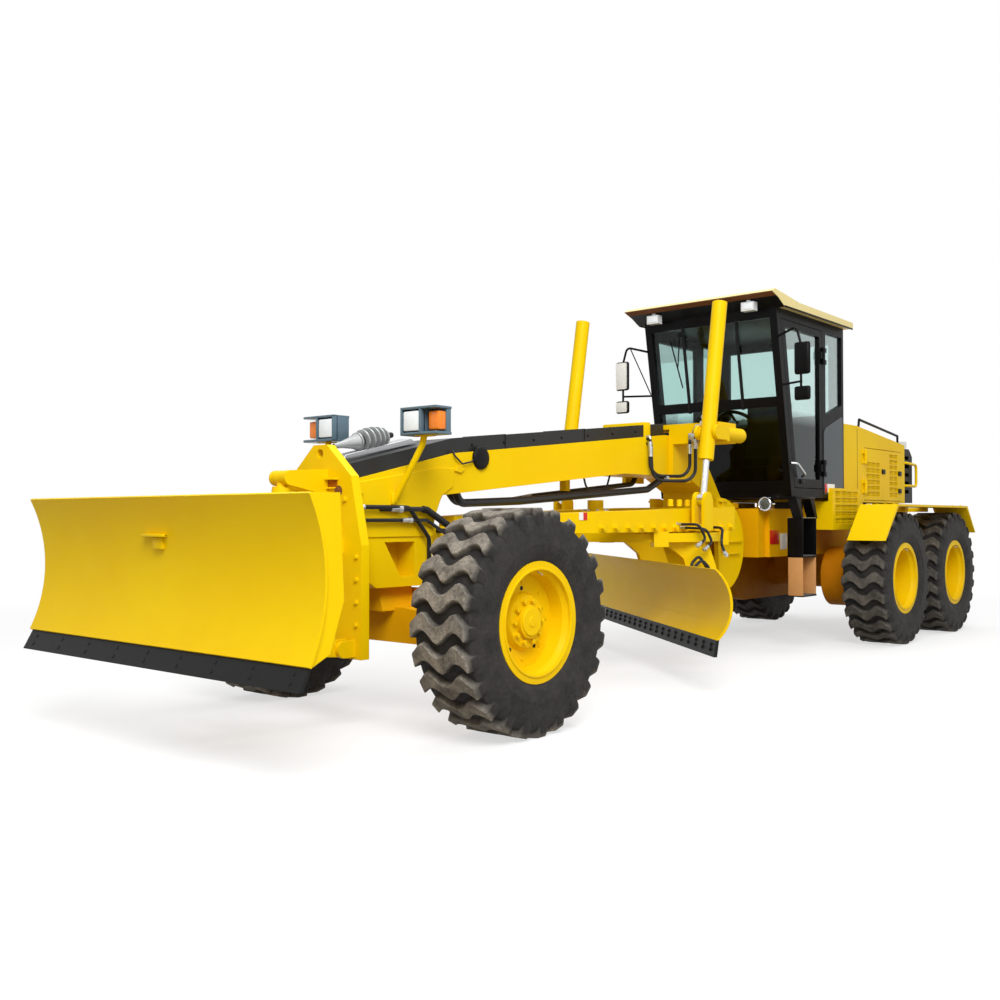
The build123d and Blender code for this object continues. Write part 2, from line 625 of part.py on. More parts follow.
def moldboard():
    top, mid, foot = blade_arc(0)
    top2, mid2, foot2 = blade_arc(BLADE_T)
    edge = ThreePointArc(top, mid, foot) + Line(foot, foot2) + ThreePointArc(foot2, mid2, top2) + Line(top2, top)
    plate = Pos(0, BLADE_HALF, 0) * extrude(Plane.XZ * make_face(edge), 2 * BLADE_HALF)
    rails = Part()
    for low, high, front in RAILS:
        rails += box(RAIL_X, front, -RAIL_HALF, RAIL_HALF, low, high)
    return turned(Pos(0, BLADE_SHIFT, 0) * (plate + rails))


def moldboard_edge():
    top, mid, foot = blade_arc(0)
    lap = side([(foot[0], foot[1]), (foot[0] - BLADE_T, foot[1]), (foot[0] - 4, BLADE_BOTTOM),
                (foot[0] + EDGE_LEAN, BLADE_BOTTOM)], -BLADE_HALF, BLADE_HALF)
    return turned(Pos(0, BLADE_SHIFT, 0) * lap)


# Front dozer blade

def front_mount():
    x0, x1 = MOUNT_X
    outline = [(-MOUNT_HALF, 420), (-MOUNT_HALF, 1090), (-280, 1500), (-60, 1694), (60, 1694), (280, 1500),
               (MOUNT_HALF, 1090), (MOUNT_HALF, 420)]
    plate = across(outline, x0, x1) - pin_x(0, *LIFTING_EYE, x0 - 10, x1 + 10)
    ears = Part()
    for x, z in (DOZER_LOW_PIN,):
        for y0, y1 in ((DOZER_ARM_Y[0] - 30, DOZER_ARM_Y[0] - SIDE_GAP), (DOZER_ARM_Y[1] + SIDE_GAP, DOZER_ARM_Y[1] + 30)):
            ears += box(x1, x, y0, y1, z - 50, z + 50) + pin_y(x, z, 50, y0, y1)
        ears += pin_y(x, z, DOZER_PIN_R, DOZER_ARM_Y[0] - 30, DOZER_ARM_Y[1] + 30)
    for x, z in (DOZER_HIGH_PIN,):
        for y0, y1 in ((DOZER_LINK_Y[0] - 30, DOZER_LINK_Y[0] - SIDE_GAP), (DOZER_LINK_Y[1] + SIDE_GAP, DOZER_LINK_Y[1] + 30)):
            ears += box(x1, x, y0, y1, z - 45, z + 45) + pin_y(x, z, 45, y0, y1)
        ears += pin_y(x, z, DOZER_PIN_R, DOZER_LINK_Y[0] - 30, DOZER_LINK_Y[1] + 30)
    x, z = DOZER_CYL_TOP
    for y0, y1 in ((-75, -46), (46, 75)):
        ears_top = side([(x1, z - 100), (x1, z + 60), (x, z + 45), (x, z - 45)], y0, y1) + pin_y(x, z, 45, y0, y1)
        plate += ears_top
    plate += pin_y(x, z, DOZER_PIN_R, -75, 75)
    return plate + both(ears)


def dozer_arms():
    x, z = DOZER_LOW_PIN
    bx, bz = x + DOZER_LINK[0], z + DOZER_LINK[1]
    arm = side([(x, z + 45), (bx, bz + 40), (bx, bz - 40), (x, z - 45)], *DOZER_ARM_Y)
    arm += pin_y(x, z, 45, *DOZER_ARM_Y) + pin_y(bx, bz, 40, *DOZER_ARM_Y)
    arm -= pin_y(x, z, DOZER_PIN_R + RUNNING, 0, 500) + pin_y(bx, bz, DOZER_PIN_R + RUNNING, 0, 500)
    fx, fz = DOZER_CYL_FOOT
    tie = pin_y(fx + 160, fz + 20, 40, -DOZER_ARM_Y[0], DOZER_ARM_Y[0])
    ears = Part()
    for y0, y1 in ((-62, -36), (36, 62)):
        ears += side([(fx, fz - 40), (fx, fz + 40), (fx + 160, fz + 55), (fx + 160, fz - 15)], y0, y1)
        ears += pin_y(fx, fz, 42, y0, y1)
    return both(arm) + tie + ears


def dozer_link():
    x, z = DOZER_HIGH_PIN
    bx, bz = x + DOZER_LINK[0], z + DOZER_LINK[1]
    link = side([(x, z + 35), (bx, bz + 35), (bx, bz - 35), (x, z - 35)], *DOZER_LINK_Y)
    link += pin_y(x, z, 40, *DOZER_LINK_Y) + pin_y(bx, bz, 40, *DOZER_LINK_Y)
    link -= pin_y(x, z, DOZER_PIN_R + RUNNING, 0, 500) + pin_y(bx, bz, DOZER_PIN_R + RUNNING, 0, 500)
    tie = pin_y(bx - 160, bz - 14, 25, -DOZER_LINK_Y[0], DOZER_LINK_Y[0])
    return both(link) + tie


def dozer_blade():
    arc = ThreePointArc(DOZER_TOP, DOZER_MID, DOZER_EDGE_TOP)
    back = [(x - DOZER_T, z) for x, z in (DOZER_EDGE_TOP, DOZER_MID, DOZER_TOP)]
    outline = arc + Line(DOZER_EDGE_TOP, back[0]) + ThreePointArc(*back) + Line(back[2], DOZER_TOP)
    plate = Pos(0, DOZER_HALF, 0) * extrude(Plane.XZ * make_face(outline), 2 * DOZER_HALF)
    end = arc + Polyline(DOZER_EDGE_TOP, (DOZER_EDGE_TOP[0] - DOZER_T, DOZER_EDGE_TOP[1]), (1578, 630), (DOZER_BACK, 870), (DOZER_BACK + 25, 1367), DOZER_TOP)
    ends = both(Pos(0, DOZER_HALF, 0) * extrude(Plane.XZ * make_face(end), 20))
    ribs = Part()
    for z in (700, 1000, 1290):
        ribs += box(1540, 1610 if z == 1000 else 1650, -DOZER_HALF + 10, DOZER_HALF - 10, z - 30, z + 30)
    lugs = Part()
    low_ear = [(1600, 700), (1650, 700), (1690, 590), (1650, 540)]
    high_ear = [(1620, 1230), (1620, 1090)]
    for pin, ys, ear in ((DOZER_LOW_PIN, DOZER_ARM_Y, low_ear), (DOZER_HIGH_PIN, DOZER_LINK_Y, high_ear)):
        x, z = pin[0] + DOZER_LINK[0], pin[1] + DOZER_LINK[1]
        for y0, y1 in ((ys[0] - 30, ys[0] - SIDE_GAP), (ys[1] + SIDE_GAP, ys[1] + 30)):
            lugs += side([(x, z - 45), (x, z + 45)] + ear, y0, y1) + pin_y(x, z, 45, y0, y1)
        lugs += pin_y(x, z, DOZER_PIN_R, ys[0] - 30, ys[1] + 30)
    eye = box(1590, 1655, -150, 60, 1150, 1165) + box(1590, 1640, -60, 30, 1150, 1215)
    return plate + ends + ribs + both(lugs) + eye


def dozer_edge():
    x, z = DOZER_EDGE_TOP
    tx, tz = DOZER_TIP
    section = [(x, z), (x - DOZER_T, z), (tx - DOZER_EDGE_T, tz), (tx, tz)]
    return side(section, -DOZER_HALF, DOZER_HALF)


def along_dozer_cylinder(shape):
    """Place a piece drawn upright, hanging from the origin, along the dozer's lift cylinder."""
    a = Vector(DOZER_CYL_TOP[0], 0, DOZER_CYL_TOP[1])
    b = Vector(DOZER_CYL_FOOT[0], 0, DOZER_CYL_FOOT[1])
    frame = Plane(origin=a, x_dir=(0, 1, 0), z_dir=a - b)
    return frame * shape


def dozer_cylinder_length():
    dx = DOZER_CYL_TOP[0] - DOZER_CYL_FOOT[0]
    dz = DOZER_CYL_TOP[1] - DOZER_CYL_FOOT[1]
    return (dx * dx + dz * dz) ** 0.5


def dozer_barrel():
    foot = -640
    tube = pin_z(0, 0, DOZER_CYL_R, foot, -60)
    tube -= pin_z(0, 0, DOZER_CYL_BORE, foot + 60, -90)
    tube -= pin_z(0, 0, DOZER_ROD_R + RUNNING, foot - 10, -90)
    eye = pin_x(0, 0, 44, -45, 45) + pin_z(0, 0, 30, -80, 0) - pin_x(0, 0, DOZER_PIN_R + RUNNING, -60, 60)
    return along_dozer_cylinder(tube + eye)


def dozer_rod():
    length = dozer_cylinder_length()
    rod = pin_z(0, 0, DOZER_ROD_R, -length + 20, DOZER_PISTON[1])
    rod += pin_z(0, 0, DOZER_CYL_BORE - RUNNING, *DOZER_PISTON)
    eye = pin_x(0, -length, 40, -35, 35)
    return along_dozer_cylinder(rod + eye)


LAMP_HOUSING = (40, 195, 305, 625, 1760, 1945)   # one headlamp's corners along, across and up


def headlamps():
    """Lamp housings on their stalks beside the nose."""
    housing = box(*LAMP_HOUSING)
    stalk = bar((160, BEAM_HALF_Y + 34, 1372), (115, 440, 1765), 22)
    foot = box(130, 190, BEAM_HALF_Y, BEAM_HALF_Y + 40, 1335, 1405)
    return both(housing + stalk + foot)


# Hoses fixed between fittings on the front frame: radius, bend, points
FRONT_HOSES = (
    (14, 60, [(497, 262, 1316), (60, 262, 1316), (-120, 262, 1120), (-120, 262, 880), (-120, 220, 880)]),
    (12, 30, [(497, 258, 1236), (-100, 258, 1236), (-400, 258, 1090), (-400, 95, 1090)]),
    (16, 12, [(270, 220, 1306), (270, 250, 1306), (-80, 266, 1306), (-370, 262, 1165), (-370, 95, 1165)]),
    (6, 18, [(-387, 216, 1700), (-387, 240, 1660), (-460, 240, 1610), (-560, 240, 1630), (-600, 216, 1660)]),
    (14, 110, [(-2762, 220, 1910), (-2762, 250, 1910), (-2762, 250, 1600), (-3080, 440, 1600),
               (-3080, 440, 1905), (-3112, 440, 1905)]),
    (14, 110, [(-2762, 220, 1870), (-2762, 255, 1870), (-2790, 255, 1560), (-3070, 500, 1560),
               (-3070, 500, 1940), (-3112, 500, 1940)]),
    (28, 120, [(-470, 165, 1425), (-520, 165, 1350), (-1150, 165, 1372), (-2850, 165, 1490), (-3150, 165, 1612)]),
    (22, 120, [(-470, 100, 1425), (-540, 100, 1355), (-1150, 105, 1380), (-1700, -175, 1418), (-3150, -175, 1550),
               (-3200, -175, 1640)]),
    (8, 60, [(-2020, 105, 1575), (-2060, 105, 1480), (-2330, 105, 1480), (-2390, 105, 1610)]),
)


def front_hoses():
    shape = Part()
    for radius, bend, points in FRONT_HOSES:
        shape += hose(points, radius, bend)
    return shape - gooseneck() - lift_saddle()


# Rear frame

def rear_frame():
    low, high = FRAME_Z
    rails = both(box(FRAME_FRONT - 150, FRAME_REAR, *RAIL_Y, low, high))
    front = box(FRAME_FRONT - 200, FRAME_FRONT, -400, 400, low, high)
    front -= box(FRAME_FRONT - 120, FRAME_FRONT + 10, -200, 200, low - 10, high + 10)
    cross = box(FRAME_REAR, FRAME_REAR + 120, -440, 440, low - 60, high)
    bolster = box(-WHEELBASE - 260, -WHEELBASE + 260, -RAIL_Y[0], RAIL_Y[0], low, low + 160)
    x, z, radius = HITCH
    tongue = box(x, FRAME_REAR + 120, -70, 70, z - HITCH_T / 2, z + HITCH_T / 2)
    tongue += pin_z(x, 0, 70, z - HITCH_T / 2, z + HITCH_T / 2)
    tongue -= pin_z(x, 0, radius, z - 50, z + 50)
    solid = rails + front + cross + bolster + tongue
    for low_z, high_z in PIVOT_LUGS_FRONT:
        z0 = high_z + PIVOT_LUG_GAP
        solid += box(FRAME_FRONT - 150, PIVOT_X, -PIVOT_LUG_R, PIVOT_LUG_R, z0, z0 + 50)
        solid += pin_z(PIVOT_X, 0, PIVOT_LUG_R, z0, z0 + 50)
        z1 = low_z - PIVOT_LUG_GAP
        solid += box(FRAME_FRONT - 150, PIVOT_X, -PIVOT_LUG_R, PIVOT_LUG_R, z1 - 50, z1)
        solid += pin_z(PIVOT_X, 0, PIVOT_LUG_R, z1 - 50, z1)
        solid += pin_z(PIVOT_X, 0, PIVOT_R, z1 - 50, z0 + 50)
    return solid


def engine_block():
    return box(-7350, -6150, -280, 280, FRAME_Z[0] + 160, 2000)


def rear_axle():
    tube = pin_y(-WHEELBASE, AXLE_Z, AXLE_TUBE_R, -TANDEM_Y[0], TANDEM_Y[0])
    seat = box(-WHEELBASE - 170, -WHEELBASE + 170, -440, 440, AXLE_Z, FRAME_Z[0])
    return tube + seat + tandem_cases()


def tandem_cases():
    y0, y1 = TANDEM_Y
    front, rear = REAR_WHEELS
    disc, end, inner_end = REAR_HUB
    case = box(rear, front, y0, y1, AXLE_Z - TANDEM_END_R, AXLE_Z + TANDEM_END_R)
    for x in (front, rear):
        case += pin_y(x, AXLE_Z, TANDEM_END_R, y0, y1)
        case += pin_y(x, AXLE_Z, 120, y1, WHEEL_Y + inner_end - 2)
        case += pin_y(x, AXLE_Z, SPINDLE_R, y1, WHEEL_Y + end)
    return both(case)


HOOD_SIDE = [(HOOD_FRONT, HOOD_BOTTOM), (HOOD_FRONT, HOOD_KNEE[1]), HOOD_KNEE, (HOOD_REAR, HOOD_REAR_TOP),
             (HOOD_REAR, HOOD_BOTTOM)]


def hood():
    outer = HOOD_SIDE
    t = HOOD_WALL
    inner = [(HOOD_FRONT - t, HOOD_BOTTOM - 10), (HOOD_FRONT - t, HOOD_KNEE[1] - t), (HOOD_KNEE[0], HOOD_KNEE[1] - t),
             (HOOD_REAR + t, HOOD_REAR_TOP - t + 5), (HOOD_REAR + t, HOOD_BOTTOM - 10)]
    shell = side(outer, -HOOD_HALF, HOOD_HALF) - side(inner, -HOOD_HALF + t, HOOD_HALF - t)
    x0, x1, z0, z1 = HOOD_DOOR
    shell -= box(x0, x1, -HOOD_HALF - 10, HOOD_HALF + 10, z0, z1)
    fixings = Part()
    for x in HOOD_FEET:
        fixings += box(x - 50, x + 50, RAIL_Y[0], HOOD_HALF - 5, FRAME_Z[1], HOOD_BOTTOM + 15)
    for low, high in HOOD_HINGES:
        fixings += fixed_knuckles(x1, HOOD_HALF, 60, low, high)
    return shell + both(fixings)


# opening for a hood door: x, x, low, high
HOOD_DOOR = (-7580, -6480, 1440, 2010)
HOOD_HINGES = ((1560, 1620), (1880, 1940))
HOOD_FEET = (-6400, -7480)


# windows of grille: x, x, low, high, columns, rows
HOOD_GRILLES = ((-6935, -6535, 1480, 1865, 3, 6), (-7480, -7215, 1480, 1975, 2, 8))
BOX_GRILLE = (-5930, -5350, 1185, 1525, 4, 5)
GRILLE_BAR = 16


def grille_holes(window, y0, y1):
    """Holes of a grille in a panel between y0 and y1."""
    x0, x1, z0, z1, columns, rows = window
    step_x, step_z = (x1 - x0) / columns, (z1 - z0) / rows
    hole = Box(step_x - GRILLE_BAR, y1 - y0, step_z - GRILLE_BAR)
    spots = [Pos(x0 + (i + 0.5) * step_x, (y0 + y1) / 2, z0 + (j + 0.5) * step_z)
             for i in range(columns) for j in range(rows)]
    return [spot * hole for spot in spots]


def hood_door(hand):
    x0, x1, z0, z1 = HOOD_DOOR
    g = MOVING_GAP
    panel = box(x0 + g, x1 - g, HOOD_HALF - HOOD_WALL + 2, HOOD_HALF, z0 + g, z1 - g)
    for window in HOOD_GRILLES:
        panel -= grille_holes(window, HOOD_HALF - HOOD_WALL - 5, HOOD_HALF + 5)
    for low, high in HOOD_HINGES:
        panel = moving_knuckle(panel, x1, HOOD_HALF, -60, low, high)
    return panel if hand > 0 else other_side(panel)


def radiator_guard():
    """Black rear unit with louvres and the fan cowl, and the handrails that run forward from it."""
    body = side([(HOOD_REAR, 1430), (HOOD_REAR, 2070), (-8080, 2070), (-8180, 1980), (-8180, 1430)], -520, 520)
    body -= box(-8140, HOOD_REAR - 40, -480, 480, 1470, 2020)
    for z in GUARD_LOUVRES:
        body -= box(-8060, HOOD_REAR - 60, -530, 530, z, z + 45)
    fan_z = 1750
    cowl = pin_x(0, fan_z, 290, -REAR_REACH, -8180) - pin_x(0, fan_z, 265, -REAR_REACH - 10, -8100)
    hub = pin_x(0, fan_z, 70, -8370, -8150)
    guard = Part()
    for turn in range(0, 180, 45):
        guard += Pos(-8370, 0, fan_z) * Rot(turn, 0, 0) * Box(14, 540, 14)
    for radius in (110, 190):
        guard += pin_x(0, fan_z, radius + 7, -8377, -8363) - pin_x(0, fan_z, radius - 7, -8380, -8360)
    return body - pin_x(0, fan_z, 265, -8300, -8100) + cowl + hub + guard + rails()


GUARD_LOUVRES = (1540, 1640, 1740, 1840, 1940)


def fenders():
    x0, x1 = FENDER_X
    t = FENDER_T
    outline = [FENDER_LOW, (x0, FENDER_TOP), (x1, FENDER_TOP), FENDER_TAIL,
               (FENDER_TAIL[0] + t, FENDER_TAIL[1]), (x1 + t, FENDER_TOP - t), (x0 - t, FENDER_TOP - t),
               (FENDER_LOW[0] - t, FENDER_LOW[1])]
    sheet = side(outline, *FENDER_Y)
    brackets = Part()
    for x in (450 - WHEELBASE, -WHEELBASE, -630 - WHEELBASE):
        brackets += box(x - 40, x + 40, RAIL_Y[1], FENDER_Y[0] + 60, FENDER_TOP - t - 45, FENDER_TOP - t)
        brackets += box(x - 40, x + 40, RAIL_Y[1], RAIL_Y[1] + 20, FRAME_Z[1] - 120, FENDER_TOP - t)
    return both(sheet + brackets)


def side_boxes():
    x0, x1 = -6000, -5290
    shell = box(x0, x1, RAIL_Y[1], 750, 1134, CAB_BOTTOM - 30) + box(x0, x1, 704, 750, 1134, 1545)
    shell -= box(x0 + 30, x1 - 30, RAIL_Y[1] + 30, 720, 1164, CAB_BOTTOM - 60)
    shell -= grille_holes(BOX_GRILLE, 700, 760)
    return both(shell)


def steps():
    y0, y1 = 590, 800
    x0, x1 = -4800, -4210
    cheeks = box(x0, x0 + 25, y0, y1, 540, CAB_BOTTOM) + box(x1 - 25, x1, y0, y1, 540, CAB_BOTTOM)
    back = box(x0, x1, y0 - 12, y0, 540, CAB_BOTTOM)
    treads = Part()
    for z in (540, 850, 1150):
        treads += box(x0, x1, y0, y1, z, z + 30)
    hanger = box(x0 + 100, x1 - 150, RAIL_Y[1], y0 - 12, FRAME_Z[0] + 100, FRAME_Z[0] + 200)
    return cheeks + back + treads + hanger


# Cab

CAB_SIDE = [(CAB_FRONT_LOW, CAB_BOTTOM), (CAB_FRONT_HIGH, CAB_TOP), (CAB_REAR, CAB_TOP), (CAB_REAR, CAB_BOTTOM)]
# door opening: its own forward edge follows the windscreen's slope
DOOR = [(-4545, 1530), (-4265, CAB_TOP - 90), (DOOR_REAR_X, CAB_TOP - 90), (DOOR_REAR_X, 1530)]
DOOR_GLASS = [(-4600, 1620), (-4355, CAB_TOP - 160), (DOOR_REAR_X + 65, CAB_TOP - 160), (DOOR_REAR_X + 65, 1620)]
QUARTER_GLASS = [(DOOR_REAR_X - 80, 2260), (DOOR_REAR_X - 80, CAB_TOP - 100), (-5640, CAB_TOP - 100), (-5640, 2390)]
# windscreen panes: half width, low, high
FRONT_PANES = ((630, 2370, CAB_TOP - 90), (630, 1600, 2280))
REAR_PANE = (560, 2300, CAB_TOP - 150)
# moving knuckles of the hinges: low, high
CAB_HINGES = ((1700, 1770), (CAB_TOP - 370, CAB_TOP - 300))


def front_wall(depth, inset):
    """Slab along the cab's sloping front, depth thick and inset from the outer face."""
    outer = [(CAB_FRONT_LOW - inset, CAB_BOTTOM), (CAB_FRONT_HIGH - inset, CAB_TOP)]
    inner = [(x - depth, z) for x, z in reversed(outer)]
    return side(outer + inner, -CAB_HALF, CAB_HALF)


def cab_frame():
    t = CAB_WALL
    inner = [(CAB_FRONT_LOW - t + 11, CAB_BOTTOM + 60), (CAB_FRONT_HIGH - t, CAB_TOP - 60),
             (CAB_REAR + t, CAB_TOP - 60), (CAB_REAR + t, CAB_BOTTOM + 60)]
    shell = side(CAB_SIDE, -CAB_HALF, CAB_HALF) - side(inner, -CAB_HALF + t, CAB_HALF - t)
    shell -= side(DOOR, 0, CAB_HALF + 10)
    shell -= side(DOOR_GLASS, -CAB_HALF - 10, 0)
    shell -= side(QUARTER_GLASS, -CAB_HALF - 10, CAB_HALF + 10)
    for half, low, high in FRONT_PANES:
        shell -= box(-4700, -4000, -half, half, low, high)
    half, low, high = REAR_PANE
    shell -= box(CAB_REAR - 10, CAB_REAR + t + 10, -half, half, low, high)
    for z0, z1 in CAB_HINGES:
        shell += fixed_knuckles(DOOR_REAR_X, CAB_HALF, -70, z0, z1)
    return shell + console()


def cab_glass():
    panes = other_side(side(DOOR_GLASS, CAB_HALF - 30, CAB_HALF - 22))
    panes += both(side(QUARTER_GLASS, CAB_HALF - 30, CAB_HALF - 22))
    for half, low, high in FRONT_PANES:
        panes += front_wall(8, 20) & box(-4700, -4000, -half, half, low, high)
    half, low, high = REAR_PANE
    panes += box(CAB_REAR + 20, CAB_REAR + 28, -half, half, low, high)
    return panes


def door():
    g = MOVING_GAP
    shape = [(DOOR[0][0] - g, DOOR[0][1] + g), (DOOR[1][0] - g, DOOR[1][1] - g),
             (DOOR[2][0] + g, DOOR[2][1] - g), (DOOR[3][0] + g, DOOR[3][1] + g)]
    panel = side(shape, CAB_HALF - CAB_WALL, CAB_HALF) - side(DOOR_GLASS, 0, CAB_HALF + 10)
    for z0, z1 in CAB_HINGES:
        panel = moving_knuckle(panel, DOOR_REAR_X, CAB_HALF, 60, z0, z1)
    return panel


def door_glass():
    return side(DOOR_GLASS, CAB_HALF - 30, CAB_HALF - 22)


def cab_roof():
    """Roof slab: flat over the cab, with a visor that rises forward and a short rear overhang."""
    front = (VISOR_X, CAB_TOP + VISOR_RISE)
    profile = [(CAB_REAR - 60, CAB_TOP), (CAB_REAR - 60, CAB_TOP + ROOF_T), (-4500, CAB_TOP + ROOF_T + 10),
               (VISOR_X - 60, front[1] + 30), front, (-4060, CAB_TOP + 55), (CAB_FRONT_HIGH, CAB_TOP)]
    return side(profile, -ROOF_HALF, ROOF_HALF)


def seat():
    x = -5150
    base = box(x - 180, x + 180, -200, 200, CAB_BOTTOM + 60, 1760)
    cushion = box(x - 240, x + 240, -260, 260, 1760, 1880)
    back = side([(x - 240, 1880), (x - 140, 1880), (x - 230, 2450), (x - 330, 2450)], -240, 240)
    return base + cushion + back


def console():
    post = side([(-4560, CAB_BOTTOM + 60), (-4560, 1900), (-4680, 2150), (-4740, 2120), (-4700, 1850),
                 (-4720, CAB_BOTTOM + 60)], -90, 90)
    wheel = Cylinder(STEERING_R, 24) - Cylinder(STEERING_R - 24, 30)
    wheel += Box(2 * STEERING_R - 20, 26, 12) + Box(26, 2 * STEERING_R - 20, 12)
    wheel += Pos(0, 0, -40) * Cylinder(22, 90)
    return post + Pos(-4745, 0, 2190) * Rot(0, -35, 0) * wheel


def mirrors():
    arm = bar((-4240, CAB_HALF + 15, 3000), (-4160, 900, 2900), 10)
    arm += box(-4255, -4215, CAB_HALF, CAB_HALF + 30, 2980, 3020)
    arm += box(-4345, -4305, CAB_HALF, CAB_HALF + 30, 2460, 2500)
    arm += bar((-4160, 900, 2900), (-4160, 941, 2870), 9)
    arm += bar((-4320, CAB_HALF + 15, 2480), (-4160, 941, 2480), 9)
    arm += bar((-4160, 940, 2885), (-4160, 940, 2302), 13)
    head = box(-4185, -4140, 880, 1030, 2520, 2830) + box(-4185, -4140, 880, 1030, 2300, 2420)
    return both(arm + head)


def rails():
    """Handrails over the hood, from the guard's top at the back to the hood's top in front."""
    run = bar((-6600, 0, 2325), (-7752, 0, 2212), 14)
    run += bar((-6600, 0, 2329), (-6560, 0, 2170), 13) + bar((-7752, 0, 2216), (-7752, 0, 2060), 13)
    return both(Pos(0, 500, 0) * run) - side(HOOD_SIDE, -HOOD_HALF, HOOD_HALF)


def work_lamps():
    """Two lamps under the visor, one under the cab's floor and two on the rear guard."""
    z = CAB_TOP - 40
    visor = box(-4075, -4000, 440, 565, z, z + 80) + box(-4050, -4020, 485, 520, z + 75, CAB_TOP + 60)
    low = pin_x(475, 1380, 60, -4470, -4400) + box(-4480, -4440, 460, 490, 1380, CAB_BOTTOM)
    rear = box(-8110, -8040, 380, 480, 2085, 2165) + box(-8085, -8065, 415, 445, 2070, 2090)
    return (both(visor) - cab_roof()) + low + both(rear)


PIECES = {
    "front_axle": front_axle,
    "lean_bar": lean_bar,
    "tie_rod_ball": tie_ball,
    "tie_rod": tie_rod,
    "gooseneck": gooseneck,
    "beam_cover": beam_cover,
    "lift_saddle": lift_saddle,
    "hoses": front_hoses,
    "front_mount": front_mount,
    "headlamps": headlamps,
    "dozer_arms": dozer_arms,
    "dozer_link": dozer_link,
    "dozer_blade": dozer_blade,
    "dozer_edge": dozer_edge,
    "dozer_barrel": dozer_barrel,
    "dozer_rod": dozer_rod,
    "drawbar": drawbar,
    "circle": circle,
    "blade_carrier": carrier,
    "moldboard": moldboard,
    "moldboard_edge": moldboard_edge,
    "rear_frame": rear_frame,
    "engine_block": engine_block,
    "rear_axle": rear_axle,
    "hood": hood,
    "radiator_guard": radiator_guard,
    "fenders": fenders,
    "side_boxes": side_boxes,
    "access_steps": steps,
    "work_lamps": work_lamps,
    "cab_frame": cab_frame,
    "cab_glass": cab_glass,
    "cab_roof": cab_roof,
    "cab_door": door,
    "cab_door_glass": door_glass,
    "seat": seat,
    "mirrors": mirrors,
}
# pieces drawn on the left and mirrored to the right as nodes of their own
PAIRS = {
    "lean_bracket": lean_bracket,
    "knuckle": knuckle,
    "lift_barrel": lift_barrel,
    "lift_rod": lift_rod,
}

os.makedirs("parts", exist_ok=True)
wheels()
for name, make in PIECES.items():
    export(name, make())
for name, make in PAIRS.items():
    left = make()
    export(f"{name}_left", left)
    export(f"{name}_right", other_side(left))
export("hood_door_left", hood_door(1))
export("hood_door_right", hood_door(-1))
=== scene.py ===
import json
from math import atan2, cos, hypot, pi, radians, sin, tan, tau

import bmesh
import bpy
from mathutils import Euler, Matrix, Vector

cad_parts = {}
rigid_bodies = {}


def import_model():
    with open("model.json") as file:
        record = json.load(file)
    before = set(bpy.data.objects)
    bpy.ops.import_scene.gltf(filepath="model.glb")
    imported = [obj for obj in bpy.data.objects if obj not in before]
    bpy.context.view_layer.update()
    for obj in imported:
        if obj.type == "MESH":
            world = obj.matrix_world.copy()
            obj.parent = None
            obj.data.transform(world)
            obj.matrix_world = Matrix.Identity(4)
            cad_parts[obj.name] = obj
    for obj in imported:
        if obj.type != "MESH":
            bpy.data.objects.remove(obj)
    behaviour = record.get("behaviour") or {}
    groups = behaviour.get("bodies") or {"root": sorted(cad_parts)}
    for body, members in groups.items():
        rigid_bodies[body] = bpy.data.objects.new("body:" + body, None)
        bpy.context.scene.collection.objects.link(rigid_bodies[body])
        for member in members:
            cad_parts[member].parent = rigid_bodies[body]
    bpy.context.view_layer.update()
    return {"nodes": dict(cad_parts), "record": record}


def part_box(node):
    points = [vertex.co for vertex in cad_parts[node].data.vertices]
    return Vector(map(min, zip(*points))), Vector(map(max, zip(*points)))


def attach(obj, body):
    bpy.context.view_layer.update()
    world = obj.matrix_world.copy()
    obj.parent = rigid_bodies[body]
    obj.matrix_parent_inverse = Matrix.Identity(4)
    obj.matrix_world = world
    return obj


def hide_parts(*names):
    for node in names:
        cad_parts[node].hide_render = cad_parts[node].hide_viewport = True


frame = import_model()
nodes = frame["nodes"]


# Places. x runs forward from the front axle, y to the left, z up from the ground, in metres.

def middle(name):
    low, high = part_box(name)
    return (low + high) / 2


AXLE = middle("tyre_front_left")
FORWARD, LEFT, UP = Vector((1, 0, 0)), Vector((0, 1, 0)), Vector((0, 0, 1))
HANDS = (("left", 1), ("right", -1))
CIRCLE = Vector((-2.85, 0, 0))
BLADE_TURN = Matrix.Rotation(radians(-40), 3, "Z")
# how far the stored moldboard is shifted along itself
BLADE_SHIFT = -0.1305


def at(x, y, z):
    return Vector((AXLE.x + x, y, z))


def on_circle(x, y, z):
    """A point drawn for a moldboard straight across, turned to its stored angle."""
    return at(*(CIRCLE + BLADE_TURN @ Vector((x, y, z))))


# Node trees

class Value:
    """A node's output. Python's operators on a number add Math nodes."""

    def __init__(self, maker, socket):
        self.maker, self.socket = maker, socket

    def math(self, operation, a, b, **settings):
        return self.maker.node("ShaderNodeMath", {0: a, 1: b}, operation=operation, **settings)

    def __add__(self, other):
        return self.math("ADD", self, other)

    def __sub__(self, other):
        return self.math("SUBTRACT", self, other)

    def __rsub__(self, other):
        return self.math("SUBTRACT", other, self)

    def __mul__(self, other):
        return self.math("MULTIPLY", self, other)

    def __truediv__(self, other):
        return self.math("DIVIDE", self, other)

    def __rtruediv__(self, other):
        return self.math("DIVIDE", other, self)

    __radd__, __rmul__ = __add__, __mul__

    def clamped(self):
        return self.math("MINIMUM", self, 1.0, use_clamp=True)


